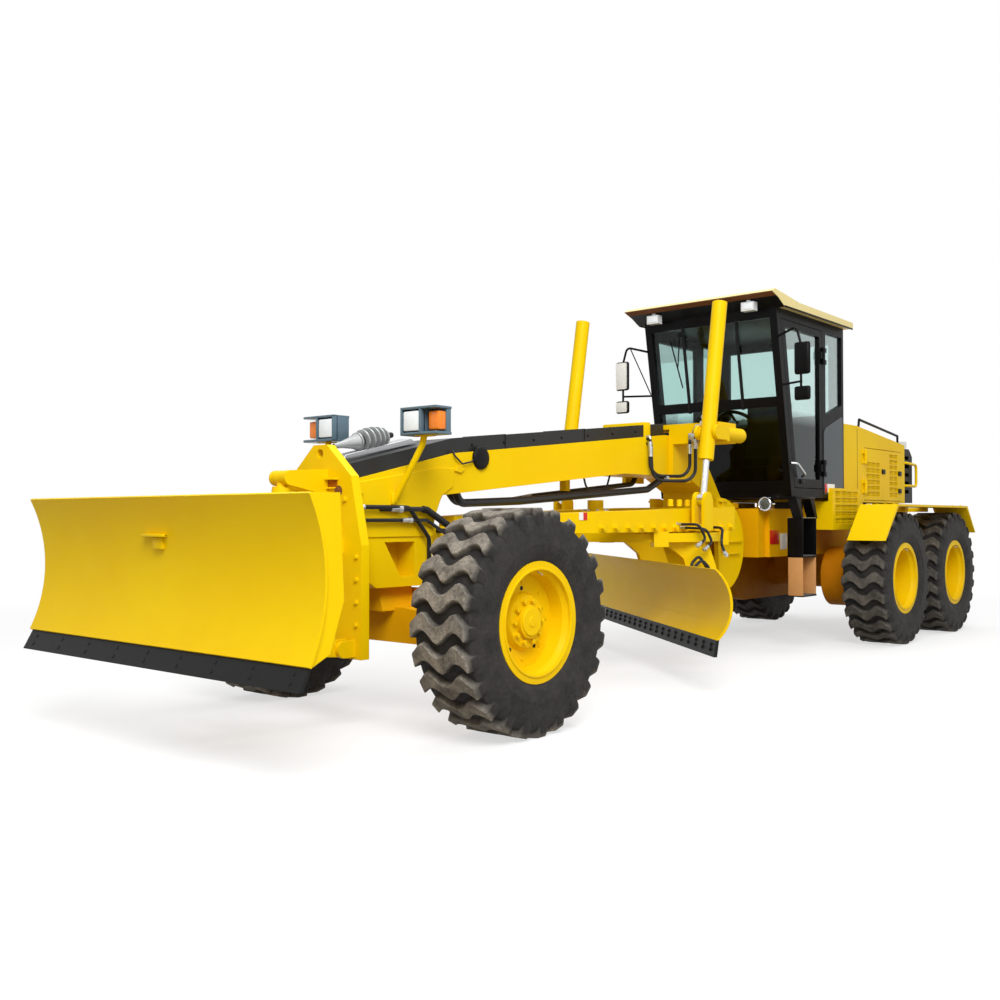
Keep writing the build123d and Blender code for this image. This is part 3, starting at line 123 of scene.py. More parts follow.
class Maker:
    """Adds nodes to its tree."""

    def node(self, kind, values=None, out=0, **settings):
        """One node: its settings first, then the values or links of its sockets."""
        made = self.tree.nodes.new(kind)
        for key, value in settings.items():
            setattr(made, key, value)
        for key, value in (values or {}).items():
            for one in value if isinstance(value, list) else [value]:
                self.feed(made.inputs[key], one)
        return Value(self, made.outputs[out])

    def feed(self, socket, value):
        if isinstance(value, Value):
            self.tree.links.new(value.socket, socket)
        else:
            socket.default_value = (*value, 1) if socket.type == "RGBA" else value


# Geometry Nodes recipes

class Recipe(Maker):
    """A Geometry Nodes tree with named inputs, which makes plain meshes."""

    def __init__(self, name, **kinds):
        self.tree = bpy.data.node_groups.new(name, "GeometryNodeTree")
        self.ids = {}
        for label, kind in {"Base": "Geometry", **kinds, "Material": "Material"}.items():
            self.ids[label] = self.add_socket(label, "INPUT", kind).identifier
        self.add_socket("Shape", "OUTPUT", "Geometry")
        self.inputs = self.tree.nodes.new("NodeGroupInput").outputs

    def add_socket(self, label, way, kind):
        return self.tree.interface.new_socket(label, in_out=way, socket_type=f"NodeSocket{kind}")

    def __getitem__(self, label):
        return Value(self, self.inputs[label])

    def copies(self, points, shape, **turn):
        values = {"Points": points, "Instance": shape, **turn}
        return self.node("GeometryNodeInstanceOnPoints", values)

    def finish(self, shape):
        """Real geometry with its material, as the export needs."""
        real = self.node("GeometryNodeRealizeInstances", {0: shape})
        done = self.node("GeometryNodeSetMaterial", {0: real, "Material": self["Material"]})
        self.feed(self.tree.nodes.new("NodeGroupOutput").inputs[0], done)
        return self

    def mesh(self, base=None, **values):
        """The plain mesh that the recipe makes with these inputs."""
        host = bpy.data.objects.new("host", base or bpy.data.meshes.new("empty"))
        bpy.context.scene.collection.objects.link(host)
        modifier = host.modifiers.new("recipe", "NODES")
        modifier.node_group = self.tree
        for label, value in values.items():
            modifier[self.ids[label]] = tuple(value) if isinstance(value, Vector) else value
        graph = bpy.context.evaluated_depsgraph_get()
        made = bpy.data.meshes.new_from_object(host.evaluated_get(graph), depsgraph=graph)
        bpy.data.objects.remove(host)
        return made


def bolt_head(recipe):
    """A six-sided head on its washer, standing on its origin along z."""
    radius, height = recipe["Radius"], recipe["Height"]
    head = recipe.node("GeometryNodeMeshCylinder",
                       {"Vertices": 6, "Radius": radius, "Depth": height})
    washer = recipe.node("GeometryNodeMeshCylinder",
                         {"Vertices": 14, "Radius": radius * 1.45, "Depth": height * 0.3})
    up = recipe.node("ShaderNodeCombineXYZ", {"Z": height * 0.5})
    raised = recipe.node("GeometryNodeTransform", {0: head, "Translation": up})
    return recipe.node("GeometryNodeJoinGeometry", {0: [raised, washer]})


def facing_rotation(recipe):
    return recipe.node("FunctionNodeAlignRotationToVector", {"Vector": recipe["Facing"]}, axis="Z")


def points_between(recipe):
    """Even points from the recipe's start to its end."""
    ends = {"Count": recipe["Count"], "Start Location": recipe["Start"], "Offset": recipe["End"]}
    return recipe.node("GeometryNodeMeshLine", ends, mode="END_POINTS")


def bolt_row_recipe():
    recipe = Recipe("bolts in a row", Start="Vector", End="Vector", Count="Int", Facing="Vector",
                    Radius="Float", Height="Float")
    return recipe.finish(recipe.copies(points_between(recipe), bolt_head(recipe),
                                       Rotation=facing_rotation(recipe)))


def bolt_ring_recipe():
    recipe = Recipe("bolts in a ring", Centre="Vector", Count="Int", Spread="Float",
                    Facing="Vector", Radius="Float", Height="Float")
    ring = recipe.node("GeometryNodeMeshCircle",
                       {"Vertices": recipe["Count"], "Radius": recipe["Spread"]})
    turned = recipe.node("FunctionNodeRotationToEuler", {0: facing_rotation(recipe)})
    return recipe.finish(recipe.node("GeometryNodeTransform", {
        0: recipe.copies(ring, bolt_head(recipe)), "Translation": recipe["Centre"],
        "Rotation": turned}))


def bar_row_recipe():
    recipe = Recipe("bars in a row", Start="Vector", End="Vector", Count="Int", Size="Vector")
    bar = recipe.node("GeometryNodeMeshCube", {"Size": recipe["Size"]})
    return recipe.finish(recipe.copies(points_between(recipe), bar))


def lug_recipe():
    """Lugs set evenly round a tyre's Y axis, joined to its casing, which is the base."""
    recipe = Recipe("lugs round a tyre", Count="Int", Lug="Object")
    spots = recipe.node("GeometryNodeMeshLine", {"Count": recipe["Count"], "Offset": (0, 0, 0)},
                        mode="OFFSET")
    lug = recipe.node("GeometryNodeObjectInfo", {"Object": recipe["Lug"]}, out="Geometry")
    index = recipe.node("GeometryNodeInputIndex")
    euler = recipe.node("ShaderNodeCombineXYZ", {"Y": index * (tau / recipe["Count"])})
    turns = recipe.node("FunctionNodeEulerToRotation", {0: euler})
    lugs = recipe.copies(spots, lug, Rotation=turns)
    return recipe.finish(recipe.node("GeometryNodeJoinGeometry", {0: [recipe["Base"], lugs]}))


def coil_recipe():
    """Round rings strung along the base curve, square to it."""
    recipe = Recipe("rings along a path", Count="Int", Spread="Float", Wire="Float")
    path = recipe.node("GeometryNodeMeshToCurve", {0: recipe["Base"]})
    spots = recipe.node("GeometryNodeCurveToPoints", {0: path, "Count": recipe["Count"]},
                        mode="COUNT")
    circle, wire = [recipe.node("GeometryNodeCurvePrimitiveCircle",
                                {"Resolution": sides, "Radius": recipe[radius]})
                    for sides, radius in ((20, "Spread"), (8, "Wire"))]
    ring = recipe.node("GeometryNodeCurveToMesh", {"Curve": circle, "Profile Curve": wire})
    turns = Value(recipe, spots.socket.node.outputs["Rotation"])
    return recipe.finish(recipe.copies(spots, ring, Rotation=turns))


# Surface finishes

class Finish(Maker):
    """A material, or the world, whose varying sockets are written as expressions."""

    def __init__(self, name, owners="materials", output="ShaderNodeOutputMaterial"):
        self.owner = getattr(bpy.data, owners).new(name)
        self.owner.use_nodes = True
        self.tree = self.owner.node_tree
        self.tree.nodes.clear()
        self.output = self.tree.nodes.new(output)

    def show(self, shader):
        self.feed(self.output.inputs["Surface"], shader)
        return self.owner

    def place(self):
        return self.node("ShaderNodeTexCoord", out="Object")

    def axis(self, name):
        return self.node("ShaderNodeSeparateXYZ", {0: self.place()}, out=name)

    def noise(self, scale, detail=3.0, roughness=0.55):
        return self.node("ShaderNodeTexNoise", {
            "Vector": self.place(), "Scale": scale, "Detail": detail, "Roughness": roughness})

    def blend(self, share, first, second):
        return self.node("ShaderNodeMix", {0: share, 6: first, 7: second}, 2, data_type="RGBA")

    def bump(self, height, strength, distance, edge=0.0):
        values = {"Height": height, "Strength": strength, "Distance": distance}
        if edge:
            values["Normal"] = self.node("ShaderNodeBevel", {"Radius": edge}, samples=4)
        return self.node("ShaderNodeBump", values)

    def ray(self, kind):
        return self.node("ShaderNodeLightPath", out=f"Is {kind} Ray")

    def surface(self, **values):
        return self.show(self.node("ShaderNodeBsdfPrincipled", {
            label.replace("_", " "): value for label, value in values.items()}))


def linear(colour):
    """A screen colour from 0 to 255 as the render's own linear colour."""
    return tuple(share / 12.92 if share <= 0.04045 else ((share + 0.055) / 1.055) ** 2.4
                 for share in (value / 255 for value in colour))


# dust on paint thins out up to this height
DUST_TOP = 1.1


def painted(name, colour, deep, dust, roughness, coat):
    """Sprayed paint: slightly uneven colour, dust low down and fine orange peel."""
    finish = Finish(name)
    patches = ((finish.noise(1.3, 4.0) - 0.42) * 3.0).clamped()
    paint = finish.blend(patches, linear(deep), linear(colour))
    near_ground = ((DUST_TOP - finish.axis("Z")) / DUST_TOP).clamped()
    dusty = (near_ground * finish.noise(3.0) * 0.35).clamped()
    return finish.surface(
        Base_Color=finish.blend(dusty, paint, linear(dust)),
        Roughness=(roughness + 0.16 * finish.noise(7.0, 4.0)).clamped(),
        Coat_Weight=coat, Coat_Roughness=0.12, Specular_IOR_Level=0.07,
        Normal=finish.bump(finish.noise(55.0, 2.0), 0.12, 0.001, 0.004))


def rubber_finish():
    """Dark rubber whose raised tread carries grey-brown dust, most on the front wheels."""
    finish = Finish("dusty rubber")
    raised = finish.node("ShaderNodeAttribute", out="Fac", attribute_name="tread")
    mottle = ((finish.noise(9.0, 6.0, 0.7) - 0.36) * 3.4).clamped()
    fine = ((finish.noise(60.0, 4.0, 0.7) - 0.4) * 4.0).clamped()
    front = ((finish.axis("X") + 1.5) / 3.0).clamped()
    dust = (raised * (0.28 + 0.62 * mottle) * (0.55 + 0.45 * fine) * (0.42 + 0.58 * front)
            + 0.05 * mottle).clamped()
    return finish.surface(
        Base_Color=finish.blend(dust, linear((29, 28, 28)), linear((166, 158, 145))),
        Roughness=(0.72 + 0.2 * fine).clamped(), Specular_IOR_Level=0.28,
        Normal=finish.bump(finish.noise(140.0, 4.0), 0.35, 0.002))


# height of the rail across the cab's panes
WAIST_RAIL = 2.12


def glass_finish():
    """Pale green panes, darker below the waist rail, that mirror the sky when seen aslant."""
    finish = Finish("pale green glass")
    above_waist = ((finish.axis("Z") - WAIST_RAIL) / 0.14).clamped()
    slant = finish.node("ShaderNodeLayerWeight", {"Blend": 0.5}, "Facing")
    return finish.surface(
        Base_Color=finish.blend(above_waist, linear((70, 86, 84)), linear((214, 234, 231))),
        Metallic=(0.95 * (slant - 0.22)).clamped(), Roughness=0.0, IOR=1.12,
        Transmission_Weight=1.0, Specular_IOR_Level=0.5, Coat_Weight=0.25, Coat_Roughness=0.02)


def plain(name, screen_colour, roughness=0.4, metallic=0.0, coat=0.0, grain=0.0, edge=0.0,
          glow=0.0, shine=0.25):
    """An even finish with a little noise in its gloss, and cast or brushed grain where asked."""
    finish = Finish(name)
    colour = linear(screen_colour)
    values = {"Base_Color": finish.blend((finish.noise(14.0) * 0.5).clamped(), colour,
                                         tuple(c * 0.72 for c in colour)),
              "Roughness": (roughness + 0.12 * (finish.noise(20.0) - 0.5)).clamped(),
              "Metallic": metallic, "Coat_Weight": coat, "Coat_Roughness": 0.1,
              "Specular_IOR_Level": shine}
    if grain or edge:
        values["Normal"] = finish.bump(finish.noise(90.0), grain, 0.002, edge)
    if glow:
        values["Emission_Color"], values["Emission_Strength"] = colour, glow
    return finish.surface(**values)


def woven(name, screen_colour):
    """Seat cloth: a fine weave of two crossed waves."""
    finish = Finish(name)
    colour = linear(screen_colour)
    across, along = [finish.node("ShaderNodeTexWave", {"Vector": finish.place(), "Scale": 130.0},
                                 "Fac", bands_direction=way) for way in "XY"]
    weave = across * along
    return finish.surface(
        Base_Color=finish.blend(weave, colour, tuple(2.4 * c for c in colour)), Roughness=0.9,
        Sheen_Weight=0.25, Normal=finish.bump(weave, 0.3, 0.001))


MATERIALS = {
    "yellow_paint": painted("yellow paint", (238, 202, 2), (234, 193, 2), (188, 128, 20), 0.36,
                            0.02),
    "black_paint": painted("black paint", (13, 12, 13), (9, 9, 10), (46, 42, 38), 0.32, 0.05),
    "tyre_rubber": rubber_finish(),
    "edge_steel": plain("black edge", (27, 28, 28), 0.45, grain=0.35, edge=0.002, shine=0.12),
    "cab_glass": glass_finish(),
    "chromed_rod": plain("chromed rod", (222, 222, 224), 0.12, metallic=1.0),
    "bright_steel": plain("zinc steel", (196, 198, 200), 0.34, metallic=0.9, grain=0.1),
    "seat_cloth": woven("seat cloth", (46, 46, 50)),
    "lamp_plastic": plain("slate housing", (88, 112, 126), 0.36, coat=0.3, edge=0.002),
    "lamp_white": plain("white lamp", (232, 236, 238), 0.25, coat=0.4),
    "hose_rubber": plain("hose rubber", (24, 24, 26), 0.45, coat=0.15),
    "engine_iron": plain("engine iron", (84, 84, 86), 0.7, metallic=0.2, grain=0.5),
}
YELLOW_PAINT = MATERIALS["yellow_paint"]
# yellow paint darkened to deep orange: painted shade, for the rear axle
SHADED_PAINT = painted("shaded paint", (216, 150, 6), (196, 122, 8), (128, 76, 20), 0.46, 0.0)
# yellow paint darkened a little towards orange: painted half shade, for the rear frame, front
# axle, lean parts and knuckles
HALF_SHADE_PAINT = painted("warm paint", (234, 180, 3), (226, 164, 4), (176, 112, 18), 0.4, 0.01)
ROOF_CREAM = plain("roof side", (238, 220, 150), coat=0.05)
# brown standing for yellow paint in shade: painted shade under the visor and round the crown bolt
BROWN_SHADE = plain("visor underside", (122, 76, 42), 0.7)
# brown standing for the shade in the slot under the crown ledge: painted shade
SLOT_SHADE = plain("shaded slot", (170, 96, 12), 0.6)
BEAM_GREY = plain("beam cover", (33, 34, 34), coat=0.04, grain=0.12, edge=0.003)
SLATE_PANEL = plain("cab side panel", (42, 52, 57), 0.32, coat=0.15)
LENS = plain("clear lens", (232, 238, 242), 0.08, coat=0.6, glow=0.12)
DEEP_LENS = plain("deep lens", (96, 104, 108), 0.06, metallic=0.4, coat=0.8)
AMBER = plain("amber lens", (240, 128, 12), 0.2, coat=0.5, glow=0.1)
RED = plain("red reflector", (206, 30, 26), 0.25, coat=0.4)
WHITE = plain("white reflector", (236, 236, 232), 0.3, coat=0.3)
SILVER_RUBBER = plain("grey bellows", (168, 172, 172), 0.38, metallic=0.35, coat=0.2)
# near-black for the grooves between the bellows ribs: painted shade
BELLOWS_GROOVE_SHADE = plain("bellows grooves", (30, 30, 32), 0.6)
BLACK_TRIM = plain("black trim", (15, 15, 16), 0.5, coat=0.05, shine=0.12)
TAN = plain("tan step skirt", (206, 150, 92), 0.7)

# CAD nodes with a finish other than their slot's; the rear axle, rear frame, front axle, lean
# parts and knuckles carry yellow paint darkened towards orange as painted shade
OWN_FINISH = {"cab_roof": ROOF_CREAM, "beam_cover": BEAM_GREY, "rear_axle": SHADED_PAINT,
              **dict.fromkeys(("rear_frame", "front_axle", "lean_bar", "lean_bracket_left",
                               "lean_bracket_right", "knuckle_left", "knuckle_right"), HALF_SHADE_PAINT)}
for entry in frame["record"]["subparts"]:
    node, slot = entry["node"], entry["material_slot"]
    nodes[node].material_slots[0].material = OWN_FINISH.get(node, MATERIALS[slot])


# Shapes

def dress(name, body, look, *meshes, smooth=30, slot=None):
    """A finished piece at the origin, riding on its CAD body. A look named as in the record is
    taken from the materials."""
    if isinstance(look, str):
        look, slot = MATERIALS[look], look
    mesh = meshes[0] if len(meshes) == 1 else joined(*meshes)
    mesh.materials.clear()
    mesh.materials.append(look)
    if smooth:
        shade_by_angle(mesh, smooth)
    made = bpy.data.objects.new(name, mesh)
    bpy.context.scene.collection.objects.link(made)
    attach(made, body)
    return made


def shade_by_angle(mesh, degrees):
    """Smooth faces with sharp edges kept where faces meet at more than the angle."""
    mesh.shade_smooth()
    work = bmesh.new()
    work.from_mesh(mesh)
    for edge in work.edges:
        edge.smooth = len(edge.link_faces) == 2 and edge.calc_face_angle(0) < radians(degrees)
    work.to_mesh(mesh)
    work.free()


def mesh_from(work):
    """The plain mesh of a bmesh, with its faces turned outwards."""
    mesh = bpy.data.meshes.new("shape")
    bmesh.ops.recalc_face_normals(work, faces=work.faces)
    work.to_mesh(mesh)
    work.free()
    return mesh


def joined(*meshes):
    work = bmesh.new()
    for mesh in meshes:
        work.from_mesh(mesh)
    whole = bpy.data.meshes.new("joined")
    work.to_mesh(whole)
    work.free()
    return whole


def moved(mesh, matrix):
    copy = mesh.copy()
    copy.transform(matrix)
    return copy


def about(pivot, degrees):
    """A turn about a level line across the machine through the pivot."""
    turn = Matrix.Rotation(radians(degrees), 4, "Y")
    return Matrix.Translation(pivot) @ turn @ Matrix.Translation(-pivot)


def mirrored(mesh):
    """The same mesh on the machine's other side."""
    copy = moved(mesh, Matrix.Diagonal((1, -1, 1, 1)))
    copy.flip_normals()
    return copy


def block(corner, opposite, bevel=0.004):
    """Box between two corners with rounded edges."""
    work = bmesh.new()
    bmesh.ops.create_cube(work, size=1.0)
    centre, size = (corner + opposite) / 2, opposite - corner
    for vertex in work.verts:
        vertex.co = centre + Vector(c * abs(s) for c, s in zip(vertex.co, size))
    if bevel:
        bmesh.ops.bevel(work, geom=work.edges[:], offset=bevel, segments=2, affect="EDGES",
                        profile=0.5)
    return mesh_from(work)


def side_blocks(*spans, hands=(1, -1)):
    """Boxes on both sides of the machine: spans forward, outward and upward, then the bevel."""
    return [block(at(x[0], hand * y[0], z[0]), at(x[1], hand * y[1], z[1]), bevel)
            for hand in hands for x, y, z, bevel in spans]


def plate(outline, right, left, bevel=0.002):
    """Flat upright plate: an outline of (x, z) between two places across the machine."""
    work = bmesh.new()
    near, far = [[work.verts.new(at(x, y, z)) for x, z in outline] for y in (right, left)]
    work.faces.new(near)
    work.faces.new(far[::-1])
    for i in range(len(outline)):
        work.faces.new((near[i], near[i - 1], far[i - 1], far[i]))
    if bevel:
        bmesh.ops.bevel(work, geom=work.edges[:], offset=bevel, segments=1, affect="EDGES")
    return mesh_from(work)


def lathe(profile, start, way, segments=32):
    """Solid turned about a line: the profile is (distance along it, radius) from end to end."""
    turn = UP.rotation_difference(Vector(way)).to_matrix()
    work = bmesh.new()
    rings = []
    for along, radius in profile:
        spots = [Vector((radius * cos(t), radius * sin(t), along))
                 for t in (tau * i / segments for i in range(segments if radius > 0 else 1))]
        rings.append([work.verts.new(start + turn @ spot) for spot in spots])
    for ring, after in zip(rings, rings[1:]):
        for i in range(segments):
            j = (i + 1) % segments
            corners = dict.fromkeys((ring[i % len(ring)], ring[j % len(ring)],
                                     after[j % len(after)], after[i % len(after)]))
            if len(corners) > 2:
                work.faces.new(list(corners))
    if profile[0] == profile[-1]:
        bmesh.ops.remove_doubles(work, verts=rings[0] + rings[-1], dist=1e-6)
    else:
        for ring in (rings[0], rings[-1]):
            if len(ring) > 1:
                work.faces.new(ring)
    return mesh_from(work)


def rounded_path(points, bend, steps=6):
    """Points of a route whose corners are rounded with a radius."""
    route = [points[0]]
    for before, corner, after in zip(points, points[1:], points[2:]):
        back, on = before - corner, after - corner
        half = back.angle(on) / 2
        reach = min(bend / max(0.05, tan(half)), 0.45 * back.length, 0.45 * on.length)
        first, last = corner + back.normalized() * reach, corner + on.normalized() * reach
        for t in (i / steps for i in range(steps + 1)):
            route.append(first.lerp(corner, t).lerp(corner.lerp(last, t), t))
    return route + [points[-1]]


def tube(points, radius, bend=0.03, sides=14, steps=6):
    """Round bar or hose along a route with rounded corners and closed ends."""
    route = rounded_path(points, bend, steps)
    work = bmesh.new()
    tangent = (route[1] - route[0]).normalized()
    side_way = tangent.orthogonal().normalized()
    rings = []
    for i, spot in enumerate(route):
        ahead = (route[min(i + 1, len(route) - 1)] - route[max(i - 1, 0)]).normalized()
        side_way = (tangent.rotation_difference(ahead) @ side_way).normalized()
        tangent = ahead
        other = tangent.cross(side_way)
        rings.append([work.verts.new(spot + radius * (cos(t) * side_way + sin(t) * other))
                      for t in (tau * k / sides for k in range(sides))])
    for ring, after in zip(rings, rings[1:]):
        for k in range(sides):
            work.faces.new((ring[k - 1], ring[k], after[k], after[k - 1]))
    work.faces.new(rings[0])
    work.faces.new(rings[-1])
    return mesh_from(work)


def line_mesh(points):
    mesh = bpy.data.meshes.new("line")
    mesh.from_pydata(points, [(i, i + 1) for i in range(len(points) - 1)], [])
    return mesh


BOLT_ROW, BOLT_RING, BAR_ROW, COIL = (bolt_row_recipe(), bolt_ring_recipe(), bar_row_recipe(),
                                      coil_recipe())


def bolts(start, end, count, facing, radius, height, material=YELLOW_PAINT):
    return BOLT_ROW.mesh(Start=start, End=end, Count=count, Facing=facing, Radius=radius,
                         Height=height, Material=material)


def bolt_ring(centre, count, spread, facing, radius, height, material=YELLOW_PAINT):
    return BOLT_RING.mesh(Centre=centre, Count=count, Spread=spread, Facing=facing, Radius=radius,
                          Height=height, Material=material)


# Tyres: a casing turned about the axle, with wavy lugs

LUG_COUNT = 24
TYRE_R, TREAD_FLOOR, TREAD_HALF = 0.6545, 0.612, 0.196
# from this radius up the lugs carry dust, all of it this much further out
DUST_FROM, DUST_DEPTH = 0.628, 0.026
# half of the casing's section: y, radius
CASING = ((0.176, 0.3195), (0.181, 0.334), (0.188, 0.352), (0.200, 0.366), (0.209, 0.388),
          (0.2150, 0.412), (0.2185, 0.440), (0.2210, 0.446), (0.2212, 0.454), (0.2200, 0.460),
          (0.2215, 0.500), (0.2195, 0.535), (0.2140, 0.566), (0.2050, 0.592), (TREAD_HALF, 0.606),
          (0.180, TREAD_FLOOR), (0.09, TREAD_FLOOR + 0.002))
# a lug's shoulder: y, lead of its middle, half its length, top radius, foot radius
SHOULDER = ((0.2165, 0.020, 0.024, 0.560, 0.545), (0.2180, 0.019, 0.028, 0.588, 0.556),
            (0.2130, 0.018, 0.033, 0.622, 0.572), (0.2020, 0.016, 0.038, 0.6480, 0.596))
LUG_WAVE, LUG_HALF, LUG_SPAN, WAVE_LENGTH, LUG_FOOT = 0.036, 0.048, 0.194, 0.118, 0.608
WAVE_STEPS = 8


def tyre_casing():
    profile = [*CASING, *((-y, radius) for y, radius in reversed(CASING)), CASING[0]]
    return lathe(profile, Vector(), LEFT, 96)


def tyre_lug():
    """A bar over the tread: shoulder, a wave of even height, the other shoulder."""
    half_bar = list(SHOULDER)
    for step in range(WAVE_STEPS + 1):
        y = LUG_SPAN * (1 - step / WAVE_STEPS)
        half_bar.append((y, LUG_WAVE * cos(pi * y / WAVE_LENGTH),
                         LUG_HALF + 0.004 * cos(2 * pi * y / WAVE_LENGTH), TYRE_R, LUG_FOOT))
    work = bmesh.new()
    rows = []
    for y, lead, half, top, foot in half_bar + [(-y, *rest) for y, *rest in half_bar[-2::-1]]:
        section = ((-half - 0.006, foot), (-half + 0.002, top - 0.006), (-half + 0.009, top),
                   (half - 0.009, top), (half - 0.002, top - 0.006), (half + 0.006, foot))
        turns = [((lead + offset) / TYRE_R, radius) for offset, radius in section]
        rows.append([work.verts.new((radius * sin(t), y, radius * cos(t))) for t, radius in turns])
    for row, after in zip(rows, rows[1:]):
        for i in range(len(row)):
            work.faces.new((row[i - 1], row[i], after[i], after[i - 1]))
    work.faces.new(rows[0])
    work.faces.new(rows[-1])
    return mesh_from(work)


def mark_tread(mesh, centre):
    """Store how far up the tread each point lies, for the dust."""
    share = mesh.attributes.new("tread", "FLOAT", "POINT")
    for i, vertex in enumerate(mesh.vertices):
        away = hypot(vertex.co.x - centre.x, vertex.co.z - centre.z)
        share.data[i].value = min(1.0, max(0.0, (away - DUST_FROM) / DUST_DEPTH))


def make_tyres():
    lug = bpy.data.objects.new("lug pattern", tyre_lug())
    bpy.context.scene.collection.objects.link(lug)
    mesh = lug_recipe().mesh(tyre_casing(), Count=LUG_COUNT, Lug=lug,
                             Material=MATERIALS["tyre_rubber"])
    bpy.data.objects.remove(lug)
    for row in ("front", "mid", "rear"):
        for hand, _ in HANDS:
            node = f"tyre_{row}_{hand}"
            centre = middle(node)
            own = moved(mesh, Matrix.Translation(centre))
            mark_tread(own, centre)
            tyre = dress(f"dressed_{node}", f"wheel_{row}_{hand}", "tyre_rubber", own, smooth=32)
            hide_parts(node)


def make_wheel_fittings():
    # row, hub face and disc face from the wheel's middle, outward
    for row, hub_face, disc_face in (("front", 0.102, 0.062), ("mid", 0.020, -0.020),
                                     ("rear", 0.020, -0.020)):
        for hand, sign in HANDS:
            body = f"wheel_{row}_{hand}"
            centre, out = middle(f"tyre_{row}_{hand}"), LEFT * sign
            hub, disc = centre + out * hub_face, centre + out * disc_face
            cap = lathe([(0, 0.082), (0.006, 0.082), (0.010, 0.078), (0.010, 0.030),
                         (0.014, 0.028), (0.014, 0)], hub + out * 0.030, out)
            ring = lathe([(-0.004, 0.3145), (0.010, 0.3145), (0.012, 0.309), (0.010, 0.300),
                          (-0.004, 0.297), (-0.004, 0.3145)], centre + out * 0.186, out, 64)
            dress(f"wheel_nuts_{row}_{hand}", body, "yellow_paint",
                  bolt_ring(hub, 10, 0.123, out, 0.015, 0.022),
                  bolt_ring(disc, 8, 0.222, out, 0.008, 0.006), cap, ring, smooth=40)
            # five thin black discs on the wheel disc stand for its holes: painted shade
            hole_shades = [lathe([(0, 0.013), (0.002, 0.013), (0.002, 0)],
                           disc + Vector((0.19 * cos(t), 0, 0.19 * sin(t))), out, 12)
                     for t in (tau * k / 5 + 0.3 for k in range(5))]
            dress(f"rim_holes_{row}_{hand}", body, BLACK_TRIM, *hole_shades, smooth=40)
            valve = tube([centre + out * 0.176 + UP * 0.29, centre + out * 0.215 + UP * 0.272],
                         0.004, sides=8)
            dress(f"valve_{row}_{hand}", body, MATERIALS["bright_steel"], valve, smooth=40)


# Front frame

def make_headlamps():
    """Two lamp housings: a lens toward the middle, an amber lamp under a brow outside."""
    inner, split, outer = 0.312, 0.486, 0.615
    back, front, low, high = 0.045, 0.190, 1.755, 1.928
    shells = side_blocks(
        ((back, front - 0.020), (inner, split), (low, high), 0.012),
        ((front - 0.045, front), (inner, inner + 0.014), (low, high), 0.005),
        ((front - 0.045, front), (split - 0.014, split), (low, high), 0.005),
        ((back, front), (inner, outer), (high - 0.016, high), 0.005),
        ((back, front), (inner, outer), (low, low + 0.018), 0.005),
        ((back, 0.085), (split, outer - 0.006), (low, high), 0.006))
    shell = dress("lamp_housings", "front_body", "lamp_plastic", *shells, smooth=35)
    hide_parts("headlamps")
    bezels = side_blocks(((front - 0.024, front - 0.016), (inner + 0.010, split - 0.010),
                          (low + 0.012, high - 0.010), 0.002))
    lenses = side_blocks(((front - 0.030, front - 0.006), (inner + 0.020, split - 0.020),
                          (low + 0.026, high - 0.024), 0.010))
    ambers = side_blocks(((0.080, 0.150), (split + 0.030, outer - 0.014),
                          (low + 0.030, high - 0.030), 0.010))
    stalks = [tube([at(0.160, hand * 0.232, 1.352), at(0.118, hand * 0.435, 1.70),
                    at(0.115, hand * 0.450, 1.766)], 0.020, 0.05) for hand in (1, -1)]
    feet = side_blocks(((0.130, 0.190), (0.220, 0.245), (1.335, 1.405), 0.004),
                       ((0.070, 0.160), (0.405, 0.505), (1.750, 1.764), 0.003))
    dress("lamp_bezels", "front_body", BLACK_TRIM, *bezels, smooth=35)
    dress("lamp_lenses", "front_body", LENS, *lenses, smooth=35)
    dress("turn_lamps", "front_body", AMBER, *ambers, smooth=35)
    dress("lamp_stalks", "front_body", "yellow_paint", *stalks, *feet, smooth=35)


def make_bellows():
    """Ribbed boot on top of the nose, with a plain cone at its front end."""
    start = at(0.450, 0.0, 1.692)
    way = at(-0.040, 0.0, 1.790) - start
    core = [(0, 0), (0, 0.014), (0.06, 0.018), (0.15, 0.036), (0.20, 0.052), (0.215, 0.040),
            (0.45, 0.036), (0.455, 0.022), (way.length, 0.018), (way.length, 0)]
    # the core shows between the ribs in near-black: painted shade in the grooves
    dress("bellows_core", "front_body", BELLOWS_GROOVE_SHADE, lathe(core, start, way), smooth=50)
    rings = [lathe([(p - 0.004, 0.030), (p, r), (p + 0.012, r), (p + 0.018, 0.030),
                    (p - 0.004, 0.030)], start, way, 36)
             for p, r in ((0.19, 0.058), (0.235, 0.070), (0.28, 0.076), (0.325, 0.076),
                          (0.37, 0.070), (0.415, 0.058))]
    cone = lathe([(0.0, 0.0), (0.0, 0.016), (0.06, 0.021), (0.15, 0.040), (0.185, 0.054),
                  (0.186, 0.0)], start, way)
    dress("bellows", "front_body", SILVER_RUBBER, *rings, cone, smooth=50)
    dress("bellows_bed", "front_body", "bright_steel",
          plate(((0.42, 1.610), (0.40, 1.640), (-0.16, 1.772), (-0.22, 1.745)), -0.055, 0.055))


# front face of the plate that carries the dozer blade
MOUNT_FACE = 0.561


